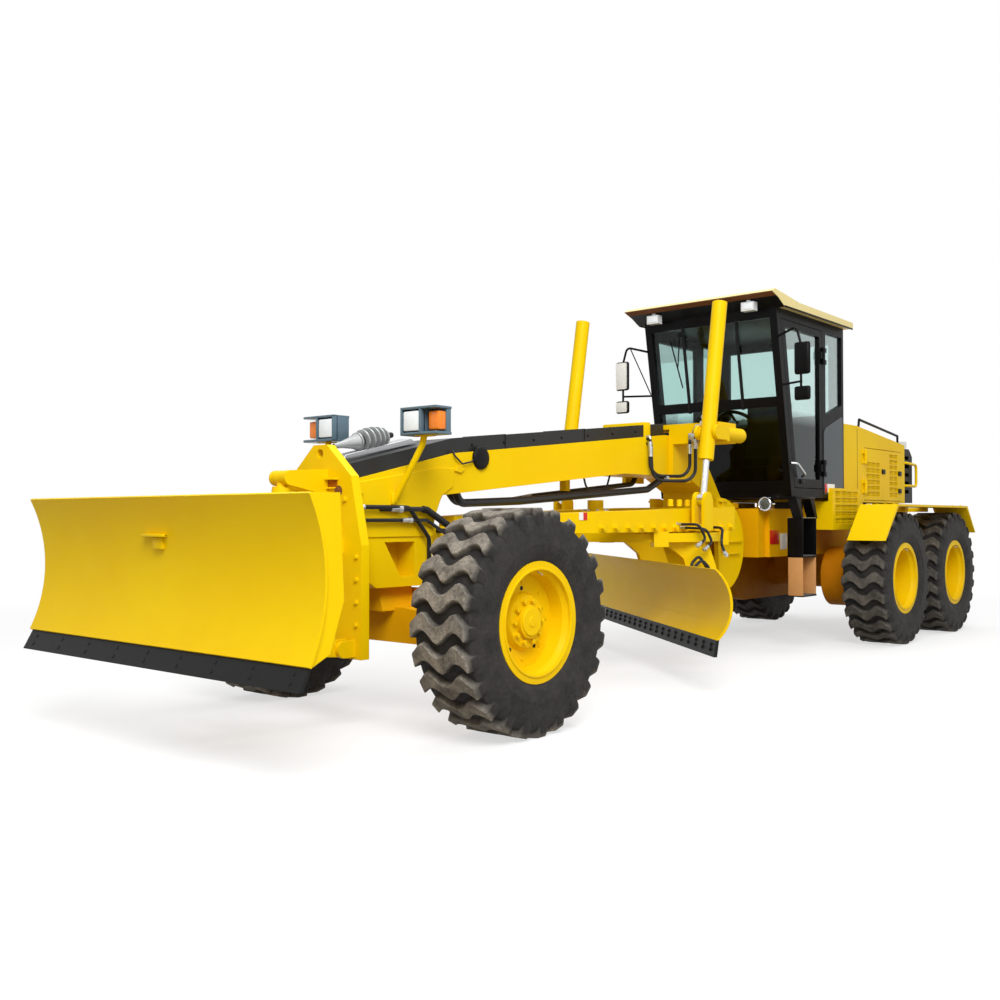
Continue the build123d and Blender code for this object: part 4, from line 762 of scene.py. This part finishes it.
def make_nose_details():
    sheet = plate(((0.490, 1.130), (0.490, 1.462), (-0.265, 1.577), (-0.400, 1.580),
                   (-0.385, 1.455), (-0.270, 1.395), (-0.205, 1.262), (-0.188, 1.130)),
                  0.2185, 0.2285, 0.004)
    dress("nose_plates", "front_body", "yellow_paint", sheet, mirrored(sheet))
    dome = lathe([(0, 0.080), (0.012, 0.080), (0.020, 0.074), (0.026, 0.050), (0.028, 0)],
                 at(-0.66, 0.220, 1.659), LEFT, 36)
    dress("pivot_covers", "front_body", BLACK_TRIM, dome, mirrored(dome), smooth=40)
    dress("loop_bracket", "front_body", YELLOW_PAINT,
          plate(((-0.50, 1.575), (-0.46, 1.548), (-0.40, 1.560), (-0.42, 1.598), (-0.48, 1.60)),
                0.220, 0.232))
    dress("ring_lug", "front_body", YELLOW_PAINT,
          block(at(-1.945, -0.030, 1.462), at(-1.885, 0.030, 1.660)))
    ring_way = line_mesh([at(-1.915, -0.004, 1.440), at(-1.915, 0.004, 1.440)])
    dress("lashing_ring", "front_body", BLACK_TRIM, COIL.mesh(
        ring_way, Count=1, Spread=0.026, Wire=0.006, Material=BLACK_TRIM), smooth=60)
    # rows on the mount's face: y and z of both ends, bolts, radius, height
    rows = ((-0.300, 0.62, -0.300, 1.02, 4, 0.012, 0.012),
            (0.330, 0.62, 0.330, 1.02, 4, 0.012, 0.012),
            (0.115, 1.36, 0.230, 1.36, 2, 0.014, 0.014),
            (-0.230, 1.36, -0.115, 1.36, 2, 0.014, 0.014),
            (0.181, 1.182, 0.181, 1.182, 1, 0.020, 0.014),
            (0.241, 0.487, 0.241, 0.487, 1, 0.020, 0.014))
    heads = [bolts(at(MOUNT_FACE, y, z), at(MOUNT_FACE, end_y, end_z), count, FORWARD, radius,
                   height) for y, z, end_y, end_z, count, radius, height in rows]
    heads.append(bolts(at(0.43, 0.2285, 1.20), at(0.43, 0.2285, 1.40), 3, LEFT, 0.009, 0.009))
    dress("nose_bolts", "front_body", "yellow_paint", *heads)
    # the crown bolt is coloured brown as painted shade
    crown = at(MOUNT_FACE, 0.172, 1.412)
    dress("crown_bolt", "front_body", BROWN_SHADE,
          bolts(crown, crown, 1, FORWARD, 0.022, 0.016, BROWN_SHADE))
    dress("crown_ledges", "front_body", "yellow_paint",
          block(at(0.558, -0.090, 1.478), at(0.590, 0.170, 1.488), 0.003),
          block(at(0.558, -0.090, 1.424), at(0.578, 0.150, 1.434), 0.003))
    # a thin brown strip between the ledges: painted shade in the slot
    dress("crown_slot", "front_body", SLOT_SHADE,
          block(at(0.5595, -0.085, 1.434), at(0.5615, 0.160, 1.478), 0))


def make_beam_top():
    """Clamp over the beam cover, screws along the cover and the seams between its sheets."""
    dress("cover_clamp", "front_body", "yellow_paint",
          block(at(-2.83, -0.212, 1.905), at(-2.74, 0.212, 2.050), 0.006))
    dress("cover_screws", "front_body", BLACK_TRIM, *[
        bolts(at(-0.60, sign * 0.2, 1.745), at(-2.62, sign * 0.2, 1.958), 7, LEFT * sign,
              0.007, 0.006, BLACK_TRIM) for sign in (1, -1)])
    dress("cover_seams", "front_body", BLACK_TRIM, *[
        block(at(x - 0.002, -0.2035, low), at(x + 0.002, 0.2035, high), 0)
        for x, low, high in ((-0.95, 1.738, 1.8415), (-1.90, 1.838, 1.9405))], smooth=None)


# a crimped hose end with its nut: shares of its length and of the hose's radius
FERRULE = ((0, 0), (0, 1.25), (0.10, 1.3), (0.16, 1.18), (0.22, 1.3), (0.28, 1.18), (0.34, 1.3),
           (0.55, 1.25), (0.56, 1.55), (0.84, 1.55), (0.86, 0.95), (1, 0.95), (1, 0))


def ferrule(start, way, radius, length):
    return lathe([(along * length, wide * radius) for along, wide in FERRULE], start, way, 16)


def make_hose_fittings():
    # place, direction, hose radius, length
    ends = ((at(0.440, 0.262, 1.316), FORWARD, 0.014, 0.055),
            (at(0.440, 0.258, 1.236), FORWARD, 0.012, 0.055),
            (at(-0.120, 0.262, 0.985), -UP, 0.014, 0.090),
            (at(0.215, 0.2545, 1.306), (-1, 0.03, 0), 0.016, 0.110),
            (at(0.120, 0.258, 1.236), -FORWARD, 0.012, 0.100),
            (at(-2.762, 0.250, 1.800), UP, 0.014, 0.100),
            (at(-2.762, 0.255, 1.760), UP, 0.014, 0.100),
            (at(-3.080, 0.440, 1.790), UP, 0.014, 0.095),
            (at(-3.070, 0.500, 1.830), UP, 0.014, 0.095),
            (at(-3.083, 0.570, 2.055), UP, 0.013, 0.060),
            (at(-3.083, 0.570, 1.895), -UP, 0.013, 0.070),
            (at(-3.060, 0.570, 1.985), FORWARD, 0.011, 0.055),
            (at(-3.060, 0.570, 1.925), FORWARD, 0.011, 0.055))
    elbows = [tube([at(-2.762, 0.205, 1.925), at(-2.762, 0.250, 1.925), at(-2.762, 0.250, 1.890)],
                   0.013, 0.02),
              tube([at(-3.09, 0.47, 1.97), at(-3.04, 0.53, 2.02), at(-3.00, 0.60, 2.00),
                    at(-3.00, 0.60, 1.90)], 0.016, 0.03)]
    valves = [block(at(-3.108, 0.425, 1.885), at(-3.080, 0.520, 1.965)),
              block(at(-3.108, 0.548, 1.890), at(-3.058, 0.592, 2.060), 0.005)]
    clip = lathe([(0, 0), (0, 0.021), (0.024, 0.021), (0.024, 0)], at(-2.905, 0.3345, 1.585),
                 (0.75, -0.4, 0), 16)
    dress("hose_fittings", "front_body", "bright_steel", *[ferrule(*end) for end in ends],
          *elbows, *valves, clip, smooth=35)
    ribs = side_blocks(
        *[(x, (0.348, 0.376), (z - 0.010, z + 0.010), 0.003)
          for z, x in ((1.403, (-3.86, -3.72)), (1.248, (-4.02, -3.80)), (1.038, (-4.14, -3.84)),
                       (0.930, (-4.10, -3.88)))],
        ((-3.800, -3.780), (0.348, 0.370), (0.94, 1.40), 0.003))
    dress("yoke_ribs", "front_body", "yellow_paint", *ribs)
    wrap = rounded_path([at(-0.060, 0.266, 1.306), at(-0.100, 0.266, 1.300),
                         at(-0.370, 0.262, 1.165)], 0.02)
    dress("hose_guard", "front_body", "hose_rubber", COIL.mesh(
        line_mesh(wrap), Count=26, Spread=0.0185, Wire=0.0045, Material=MATERIALS["hose_rubber"]),
        smooth=60)


# Drawbar, circle and moldboard

def make_drawbar_details():
    # along the drawbar's lower edge: start, end, bolts
    rows = joined(*[bolts(start, end, count, (0.05, 1, 0), 0.024, 0.036) for start, end, count in (
        (at(-1.66, 0.5265, 1.176), at(-2.26, 0.5945, 1.176), 5),
        (at(-2.40, 0.6015, 1.176), at(-3.44, 0.6180, 1.176), 8))])
    dress("drawbar_bolts", "drawbar", "yellow_paint", rows, mirrored(rows))
    # reflector on the sloping side: white in front, red behind
    way, out = Vector((-0.34, 0.08, 0)).normalized(), Vector((0.08, 0.34, 0)).normalized()
    length, height = 0.038, 0.055
    for name, shift, material in (("reflector_white", 0, WHITE), ("reflector_red", length, RED)):
        work = bmesh.new()
        corners = [at(-1.44, 0.4825, 1.235) + way * (shift + a) + out * b + UP * c
                   for a in (0, length) for b in (-0.002, 0.004) for c in (0, height)]
        bmesh.ops.convex_hull(work, input=[work.verts.new(corner) for corner in corners])
        dress(name, "drawbar", material, mesh_from(work), smooth=None)
    plugs = [lathe([(0, 0), (0, 0.022), (0.05, 0.022), (0.055, 0.015), (0.055, 0)],
                   at(x, y, 1.345), UP, 18)
             for x, y in ((-2.62, 0.53), (-2.74, 0.54), (-2.86, 0.545), (-3.02, 0.55),
                          (-3.16, 0.55))]
    dress("drawbar_plugs", "drawbar", "yellow_paint", *plugs, smooth=35)
    routes = ([at(-2.600, 0.590, 1.200), at(-2.600, 0.800, 1.200), at(-2.680, 0.815, 1.085),
               at(-2.610, 0.800, 1.045)],
              [at(-2.660, 0.590, 1.175), at(-2.660, 0.830, 1.165), at(-2.770, 0.820, 1.060),
               at(-2.700, 0.810, 1.015)],
              [at(-2.980, 0.600, 1.180), at(-2.980, 0.800, 1.170), at(-2.900, 0.830, 1.040),
               at(-2.985, 0.815, 0.975)])
    ends = [ferrule(route[-1] + Vector((shift, 0, 0.012)), way, 0.011, 0.075)
            for route, shift, way in zip(routes, (-0.02, -0.02, 0.02),
                                         ((0.9, 0, -0.4), (0.9, 0, -0.4), (-0.8, 0, -0.6)))]
    ends += [ferrule(route[0] + LEFT * 0.055, -LEFT, 0.011, 0.07) for route in routes]
    dress("drawbar_hoses", "drawbar", "hose_rubber",
          *[tube(route, 0.011, 0.05, 12, 8) for route in routes], smooth=60)
    dress("drawbar_hose_ends", "drawbar", "bright_steel", *ends, smooth=35)
    dress("drive_bolts", "drawbar", "bright_steel",
          bolt_ring(at(-2.33, 0, 1.310), 8, 0.098, UP, 0.010, 0.012, MATERIALS["bright_steel"]))


def make_moldboard_details():
    facing = BLADE_TURN @ Vector((1, 0, 0.17))
    heads = [bolts(on_circle(x, BLADE_SHIFT - 1.74, z), on_circle(x, BLADE_SHIFT + 1.74, z), 24,
                   facing, 0.012, 0.0108, MATERIALS["edge_steel"])
             for x, z in ((-0.0965, 0.365), (-0.0905, 0.330))]
    dress("moldboard_edge_bolts", "moldboard", "edge_steel", *heads)
    hoses, ends = [], []
    # from the pin's end beside the arm, over a loop, down to the upper slide rail
    for out, top, foot in ((0.70, 0.955, 0.600), (0.76, 0.925, 0.580)):
        hoses.append(tube([on_circle(*spot) for spot in (
            (-0.38, 0.645, foot), (-0.38, out, foot), (-0.41, out, 0.86), (-0.34, out + 0.02, top),
            (-0.27, out + 0.05, top - 0.06), (-0.262, out + 0.07, 0.755))], 0.012, 0.05, 12, 8))
        ends += [ferrule(on_circle(-0.262, out + 0.07, 0.80), -UP, 0.011, 0.07),
                 ferrule(on_circle(-0.38, 0.71, foot), BLADE_TURN @ -LEFT, 0.011, 0.07)]
    dress("blade_hoses", "blade_carrier", "hose_rubber", *hoses, smooth=60)
    dress("blade_hose_ends", "blade_carrier", "bright_steel", *ends, smooth=35)


# Front dozer blade

def arc_through(top, mid, low, steps):
    """Centre, radius and turns of a circle's arc through three points (x, z)."""
    (ax, az), (bx, bz), (cx, cz) = top, mid, low
    d = 2 * (ax * (bz - cz) + bx * (cz - az) + cx * (az - bz))
    a2, b2, c2 = ax * ax + az * az, bx * bx + bz * bz, cx * cx + cz * cz
    x = (a2 * (bz - cz) + b2 * (cz - az) + c2 * (az - bz)) / d
    z = (a2 * (cx - bx) + b2 * (ax - cx) + c2 * (bx - ax)) / d
    first, last = atan2(az - z, ax - x) % tau, atan2(cz - z, cx - x) % tau
    turns = [first + (last - first) * i / steps for i in range(steps + 1)]
    return (x, z), hypot(ax - x, az - z), turns


def make_dozer_face():
    """A smooth skin over the front of the dozer blade."""
    (x, z), radius, turns = arc_through((1.705, 1.367), (1.609, 1.000), (1.702, 0.579), 40)
    # from 13 mm in front of the solid's face to 2 mm inside it
    outline = [(x + r * cos(t), z + r * sin(t)) for r, row in ((radius - 0.013, turns),
                                                               (radius + 0.002, turns[::-1]))
               for t in row]
    dress("dozer_face", "dozer_blade", "yellow_paint", plate(outline, -1.302, 1.302, 0))


def make_dozer_details():
    # two rows, at these shares of the way down the cutting edge's face
    top, low = Vector((1.702, 0.579)), Vector((1.760, 0.473))
    rows = [top.lerp(low, share) for share in (0.28, 0.68)]
    heads = [bolts(at(x, -1.20, z), at(x, 1.20, z), 9, (0.877, 0, 0.480), 0.010, 0.003,
                   MATERIALS["edge_steel"]) for x, z in rows]
    dress("dozer_hook", "dozer_blade", "yellow_paint",
          block(at(1.600, -0.150, 1.150), at(1.672, 0.060, 1.166), 0.003),
          block(at(1.600, -0.070, 1.085), at(1.650, 0.020, 1.150)),
          block(at(1.600, -0.110, 1.190), at(1.650, 0.060, 1.206)))
    dress("dozer_edge_bolts", "dozer_blade", "edge_steel", *heads)


# Cab

ROOF_HALF = 0.776


def make_roof_details():
    """Ribbed lip under the visor coloured brown as painted shade, a black sheet of painted shade
    behind it, drip rails and the cab's ceiling.
    """
    pivot = at(-3.968, 0, 3.250)
    # the ribs and the lip are brown: painted shade under the visor
    ribs = BAR_ROW.mesh(Start=pivot - LEFT * 0.74, End=pivot + LEFT * 0.74, Count=34,
                        Size=(0.070, 0.016, 0.010), Material=BROWN_SHADE)
    lip = plate(((-4.010, 3.238), (-3.932, 3.2625), (-3.932, 3.2585), (-4.010, 3.234)),
                -ROOF_HALF, ROOF_HALF, 0)
    dress("visor_lip", "rear_body", BROWN_SHADE, moved(ribs, about(pivot, -17)), lip)
    # a black sheet under the visor behind the lip: painted shade
    shade_sheet = plate(((-4.190, 3.166), (-4.060, 3.223), (-4.011, 3.2375), (-4.011, 3.2335),
                    (-4.060, 3.218), (-4.190, 3.160)), -ROOF_HALF, ROOF_HALF, 0)
    gutters = side_blocks(((-5.745, -4.19), (ROOF_HALF - 0.004, ROOF_HALF + 0.004),
                           (3.158, 3.176), 0.002))
    ceiling = block(at(-5.640, -0.655, 3.105), at(-4.30, 0.655, 3.150))
    dress("roof_lining", "rear_body", BLACK_TRIM, shade_sheet, ceiling, *gutters)


def on_front(y, z, out=0.0):
    """A place on the cab's sloping front wall."""
    forward_per_metre_up = 0.310 / 1.726
    return at(-4.48 + (z - 1.444) * forward_per_metre_up + out, y, z)


def make_cab_details():
    panel = plate(((-5.195, 1.480), (-5.195, 2.090), (-5.235, 2.135), (-5.630, 2.270),
                   (-5.655, 2.250), (-5.655, 1.480)), 0.699, 0.706, 0.003)
    dress("quarter_panels", "rear_body", SLATE_PANEL, panel, mirrored(panel))
    dress("door_handle", "cab_door", "bright_steel",
          tube([at(-4.47, 0.702, 1.76), at(-4.50, 0.752, 1.755), at(-4.66, 0.752, 1.66),
                at(-4.70, 0.702, 1.64)], 0.011, 0.03), smooth=50)
    dress("door_lock", "cab_door", BLACK_TRIM,
          block(at(-4.74, 0.698, 1.575), at(-4.66, 0.712, 1.615)))
    dress("front_wiper", "rear_body", BLACK_TRIM,
          tube([on_front(-0.30, 3.02, 0.002), on_front(-0.30, 3.02, 0.030),
                on_front(-0.36, 2.72, 0.016)], 0.006, 0.01, 8),
          tube([on_front(-0.42, 2.98, 0.010), on_front(-0.33, 2.52, 0.010)], 0.007, 0.01, 8),
          block(on_front(-0.33, 3.00, -0.004), on_front(-0.27, 3.05, 0.014), 0.003), smooth=40)
    dress("front_stiles", "rear_body", BLACK_TRIM, *[
        tube([on_front(y, 2.27, -0.010), on_front(y, 3.10, -0.010)], 0.016, sides=8)
        for y in (-0.285, 0.285)], smooth=40)
    dress("inner_gauges", "rear_body", WHITE, *[
        lathe([(0, 0), (0, 0.052), (0.012, 0.052), (0.016, 0.044), (0.016, 0)],
              on_front(y, 2.14, -0.10), (1, 0, 0.3), 24) for y in (0.10, 0.22)], smooth=40)
    dress("white_plates", "rear_body", WHITE,
          block(at(-5.440, 0.705, 1.500), at(-5.268, 0.710, 1.585), 0.002),
          block(at(-4.920, 0.440, 0.948), at(-4.780, 0.445, 1.103), 0.002))
    dress("red_plates", "rear_body", RED,
          block(at(-5.266, 0.705, 1.500), at(-5.212, 0.710, 1.585), 0.002),
          block(at(-4.745, 0.440, 1.002), at(-4.560, 0.447, 1.135), 0.003))
    bezel = lathe([(0, 0.0605), (0.0, 0.0625), (0.074, 0.0655), (0.090, 0.0655), (0.094, 0.060),
                   (0.090, 0.052), (0.074, 0.050), (0.072, 0.0605), (0, 0.0605)],
                  at(-4.4725, 0.475, 1.380), FORWARD)
    dress("low_lamp_bezel", "rear_body", MATERIALS["chromed_rod"], bezel, smooth=35)
    lens = lathe([(0, 0), (0, 0.053), (0.008, 0.051), (0.014, 0.040), (0.018, 0.020), (0.019, 0)],
                 at(-4.3995, 0.475, 1.380), FORWARD)
    dress("low_lamp_lens", "rear_body", DEEP_LENS, lens, smooth=35)
    dress("visor_lamp_lenses", "rear_body", LENS,
          *side_blocks(((-4.001, -3.994), (0.452, 0.553), (3.142, 3.198), 0.003)))


def make_mirrors():
    """A tall and a low mirror each side on a bent tube; the right ones are white in front
    and have a stay."""
    arms = []
    for hand in (1, -1):
        arms += [tube([at(-4.210, hand * 0.690, 2.900), at(-4.160, hand * 0.900, 2.960),
                       at(-4.155, hand * 0.945, 2.800), at(-4.155, hand * 0.945, 2.300)],
                      0.011, 0.05, 10),
                 tube([at(-4.300, hand * 0.690, 2.470), at(-4.170, hand * 0.945, 2.470)],
                      0.010, sides=10)]
    arms.append(tube([at(-4.180, -0.870, 2.940), at(-4.270, -0.690, 2.480)], 0.006, sides=8))
    backs, faces = (-4.185, -4.140), (-4.189, -4.184)
    heads = side_blocks((backs, (0.880, 1.030), (2.530, 2.820), 0.022),
                        (backs, (0.880, 1.030), (2.300, 2.425), 0.020))
    frames = dress("mirror_arms", "rear_body", "black_paint", *arms, *heads, smooth=50)
    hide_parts("mirrors")
    dress("mirror_glass", "rear_body", "chromed_rod",
          *side_blocks((faces, (0.898, 1.012), (2.550, 2.800), 0.002),
                       (faces, (0.898, 1.012), (2.318, 2.407), 0.002)))
    fronts = (-4.141, -4.133)
    dress("mirror_shells", "rear_body", WHITE,
          *side_blocks((fronts, (0.892, 1.018), (2.542, 2.808), 0.010),
                       (fronts, (0.892, 1.018), (2.312, 2.413), 0.010), hands=(-1,)), smooth=35)


def make_steps():
    """Hanging steps: straps, an open black box and a lower step with tan skirts."""
    front, rear, inner, outer = -4.500, -4.800, 0.645, 0.798
    box, skirt = (0.885, 1.250), (0.530, 0.884)
    across = (inner, outer)
    black = side_blocks(((front - 0.012, front), across, box, 0.003),
                        ((rear, rear + 0.012), across, box, 0.003),
                        ((rear, front), (inner, inner + 0.010), box, 0.003),
                        ((rear, front), across, (0.885, 0.897), 0.003),
                        ((rear, front), across, (0.520, 0.532), 0.003),
                        ((rear + 0.02, -4.360), (0.640, 0.795), (1.425, 1.448), 0.003), hands=(1,))
    straps = [plate(((x + 0.035, 1.445), (x + 0.130, 1.445), (x, 1.245), (x - 0.045, 1.245)),
                    0.700, 0.790) for x in (front, rear)]
    ladder = dress("steps_box", "rear_body", "black_paint", *black, *straps)
    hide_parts("access_steps")
    within = (inner + 0.006, outer - 0.004)
    dress("step_skirts", "rear_body", TAN,
          *side_blocks(((front - 0.012, front - 0.002), within, skirt, 0.002),
                       ((rear + 0.006, rear + 0.016), within, skirt, 0.002),
                       ((rear + 0.01, front - 0.01), (inner + 0.006, inner + 0.014), skirt, 0.002),
                       hands=(1,)))
    y = (inner + outer) / 2
    dress("step_grips", "rear_body", "bright_steel", *[
        BAR_ROW.mesh(Start=at(rear + 0.02, y, z), End=at(front - 0.02, y, z), Count=9,
                     Size=(0.010, outer - inner, 0.008), Material=MATERIALS["bright_steel"])
        for z in (0.900, 0.536, 1.252)])


def cushion(low, high, up, crown=0.018, cuts=14):
    """A stuffed pad: rounded box whose large face, square to the up axis, is crowned between
    its seams."""
    work = bmesh.new()
    bmesh.ops.create_cube(work, size=1.0)
    bmesh.ops.subdivide_edges(work, edges=work.edges[:], cuts=cuts, use_grid_fill=True)
    centre, size = (low + high) / 2, high - low
    flat = [i for i in range(3) if i != up]
    for vertex in work.verts:
        p = vertex.co.copy()
        for i in flat:
            p[i] *= 1 - 0.06 * (abs(2 * p[up]) ** 3)
        swell = (1 - (2 * p[flat[0]]) ** 2) * (1 - (2 * p[flat[1]]) ** 2)
        seam = min(1.0, abs(abs(p[flat[1]] * 2) - 0.55) / 0.06)
        rise = (crown * swell - 0.012 * (1 - seam)) / size[up]
        p[up] += rise * (1 if p[up] > 0 else 0.15)
        vertex.co = centre + Vector(c * s for c, s in zip(p, size))
    return mesh_from(work)


def make_seat():
    column = dress("seat_base", "rear_body", BLACK_TRIM,
                   block(at(-5.33, -0.20, 1.505), at(-4.97, 0.20, 1.762), 0.02),
                   smooth=35, slot="black_paint")
    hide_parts("seat")
    pad = cushion(at(-5.385, -0.255, 1.765), at(-4.915, 0.255, 1.865), up=2)
    seat = dress("seat_cushion", "rear_body", "seat_cloth", pad, smooth=180)
    rest = cushion(at(-5.46, -0.235, 1.88), at(-5.36, 0.235, 2.44), up=0)
    leaning = moved(rest, about(at(-5.41, 0, 1.88), -6))
    back = dress("seat_back", "rear_body", "seat_cloth", leaning, smooth=180)


# Rear frame and hood

# openings that carry woven wire: x from and to, z from and to
HOOD_WINDOWS = ((-6.935, -6.535, 1.480, 1.865), (-7.480, -7.215, 1.480, 1.975))
BOX_WINDOW = (-5.930, -5.350, 1.185, 1.525)
WIRE_PITCH, WIRE = 0.024, 0.007


def wire_panel(x0, x1, z0, z1, y):
    """Woven wire: upright and level bars in the plane at y."""
    x, z, wide, tall = (x0 + x1) / 2, (z0 + z1) / 2, x1 - x0, z1 - z0
    return joined(*[BAR_ROW.mesh(Start=start, End=end, Count=int(span / WIRE_PITCH), Size=size,
                                 Material=YELLOW_PAINT)
                    for start, end, span, size in (
                        (at(x0, y, z), at(x1, y, z), wide, (WIRE, WIRE, tall)),
                        (at(x, y, z0), at(x, y, z1), tall, (wide, WIRE, WIRE)))])


def make_hood_details():
    for hand, sign in HANDS:
        door = f"hood_door_{hand}"
        dress(f"hood_mesh_{hand}", door, "yellow_paint",
              *[wire_panel(*window, sign * 0.592) for window in HOOD_WINDOWS], smooth=None)
        latches = side_blocks(*[
            ((x - 0.045, x + 0.045), (0.600, 0.614), (z - 0.026, z + 0.026), 0.005)
            for x, z in ((-7.027, 1.766), (-7.530, 1.760), (-7.530, 1.560))], hands=(sign,))
        dress(f"hood_latches_{hand}", door, BLACK_TRIM, *latches, smooth=35)
    dress("side_box_mesh", "rear_body", "yellow_paint",
          *[wire_panel(*BOX_WINDOW, sign * 0.741) for sign in (1, -1)], smooth=None)
    dress("hood_seams", "rear_body", BLACK_TRIM,
          *side_blocks(((-6.293, -6.287), (0.598, 0.6015), (1.43, 2.20), 0)), smooth=None)
    bows = [tube([at(x, sign * y, z) for x, y, z in (
        (-7.86, 0.522, 1.90), (-7.86, 0.56, 1.90), (-8.20, 0.56, 1.885), (-8.20, 0.56, 1.63),
        (-7.86, 0.56, 1.63), (-7.86, 0.522, 1.63))], 0.016, 0.05) for sign in (1, -1)]
    dress("rear_bows", "rear_body", "yellow_paint", *bows, smooth=50)
    dress("tail_lamps", "rear_body", RED,
          *side_blocks(((-8.258, -8.250), (0.36, 0.42), (1.20, 1.30), 0.003)))


def make_fender_details():
    dress("fender_bolts", "rear_body", "yellow_paint", *[
        bolts(at(x, sign * 1.00, 1.386), at(x, sign * 1.25, 1.386), 4, UP, 0.010, 0.008)
        for sign in (1, -1) for x in (-5.56, -7.60)])


# Floor, light and camera

# the floor's shadow fades out from here over this distance
FADE_START, FADE_WIDTH = 6.5, 4.0


def make_floor():
    """A floor that is white to the camera and in gloss, keeps a soft shadow, and throws a
    little warm light up."""
    bpy.ops.mesh.primitive_plane_add(size=400, location=(0, 0, -0.001))
    floor = bpy.context.object
    floor.name = "floor"
    finish = Finish("pale floor")
    seen = (finish.ray("Camera") + finish.ray("Glossy")).clamped()
    away = finish.node("ShaderNodeVectorMath", {0: finish.place()}, "Value", operation="LENGTH")
    fade = ((away - FADE_START) / FADE_WIDTH).clamped()
    bounce, pale = [finish.node("ShaderNodeBsdfDiffuse", {"Color": colour})
                    for colour in ((0.36, 0.33, 0.29), (0.93, 0.93, 0.93))]
    matt = finish.node("ShaderNodeMixShader", {0: seen, 1: bounce, 2: pale})
    glow = finish.node("ShaderNodeEmission", {"Color": (1, 1, 1), "Strength": 1.0})
    floor.data.materials.append(finish.show(finish.node(
        "ShaderNodeMixShader", {0: seen * (0.62 + 0.38 * fade), 1: matt, 2: glow})))


def make_world():
    """Even light on the machine, and white wherever the background is seen."""
    studio = Finish("studio", "worlds", "ShaderNodeOutputWorld")
    seen = (studio.ray("Camera") + studio.ray("Transmission") + studio.ray("Glossy")).clamped()
    light, white = [studio.node("ShaderNodeBackground", {"Color": (1, 1, 1), "Strength": strength})
                    for strength in (0.55, 1.0)]
    bpy.context.scene.world = studio.show(
        studio.node("ShaderNodeMixShader", {0: seen, 1: light, 2: white}))


def add_to_scene(name, data, place, turn):
    made = bpy.data.objects.new(name, data)
    made.location, made.rotation_euler = place, turn
    bpy.context.scene.collection.objects.link(made)
    return made


def make_lights():
    # place from the machine's middle, size, power
    for name, place, size, power in (("key", (9, 7, 9), 6.0, 1400.0),
                                     ("fill", (4, 13, 4), 8.0, 210.0),
                                     ("top", (-2, 1, 14), 9.0, 800.0)):
        lamp = bpy.data.lights.new(name, "AREA")
        lamp.size, lamp.energy = size, power
        add_to_scene(name, lamp, place, (UP - Vector(place)).to_track_quat("-Z", "Y").to_euler())


def make_camera():
    """The photograph's view, from measurements of the rims, the blade and the wheels."""
    camera = bpy.data.cameras.new("photo view")
    camera.lens, camera.sensor_width, camera.clip_end = 38.22, 36.0, 500
    turn = Euler((radians(90 + 0.988), radians(0.013), radians(220.32 - 90)), "XYZ")
    bpy.context.scene.camera = add_to_scene("photo view", camera, at(4.764, 5.001, 1.248), turn)


for make in (make_tyres, make_wheel_fittings, make_headlamps, make_bellows, make_nose_details,
             make_beam_top, make_hose_fittings, make_drawbar_details, make_moldboard_details,
             make_dozer_face, make_dozer_details, make_roof_details, make_cab_details,
             make_mirrors, make_steps, make_seat, make_hood_details, make_fender_details,
             make_floor, make_world, make_lights, make_camera):
    make()
bpy.context.scene.view_settings.view_transform = "Standard"
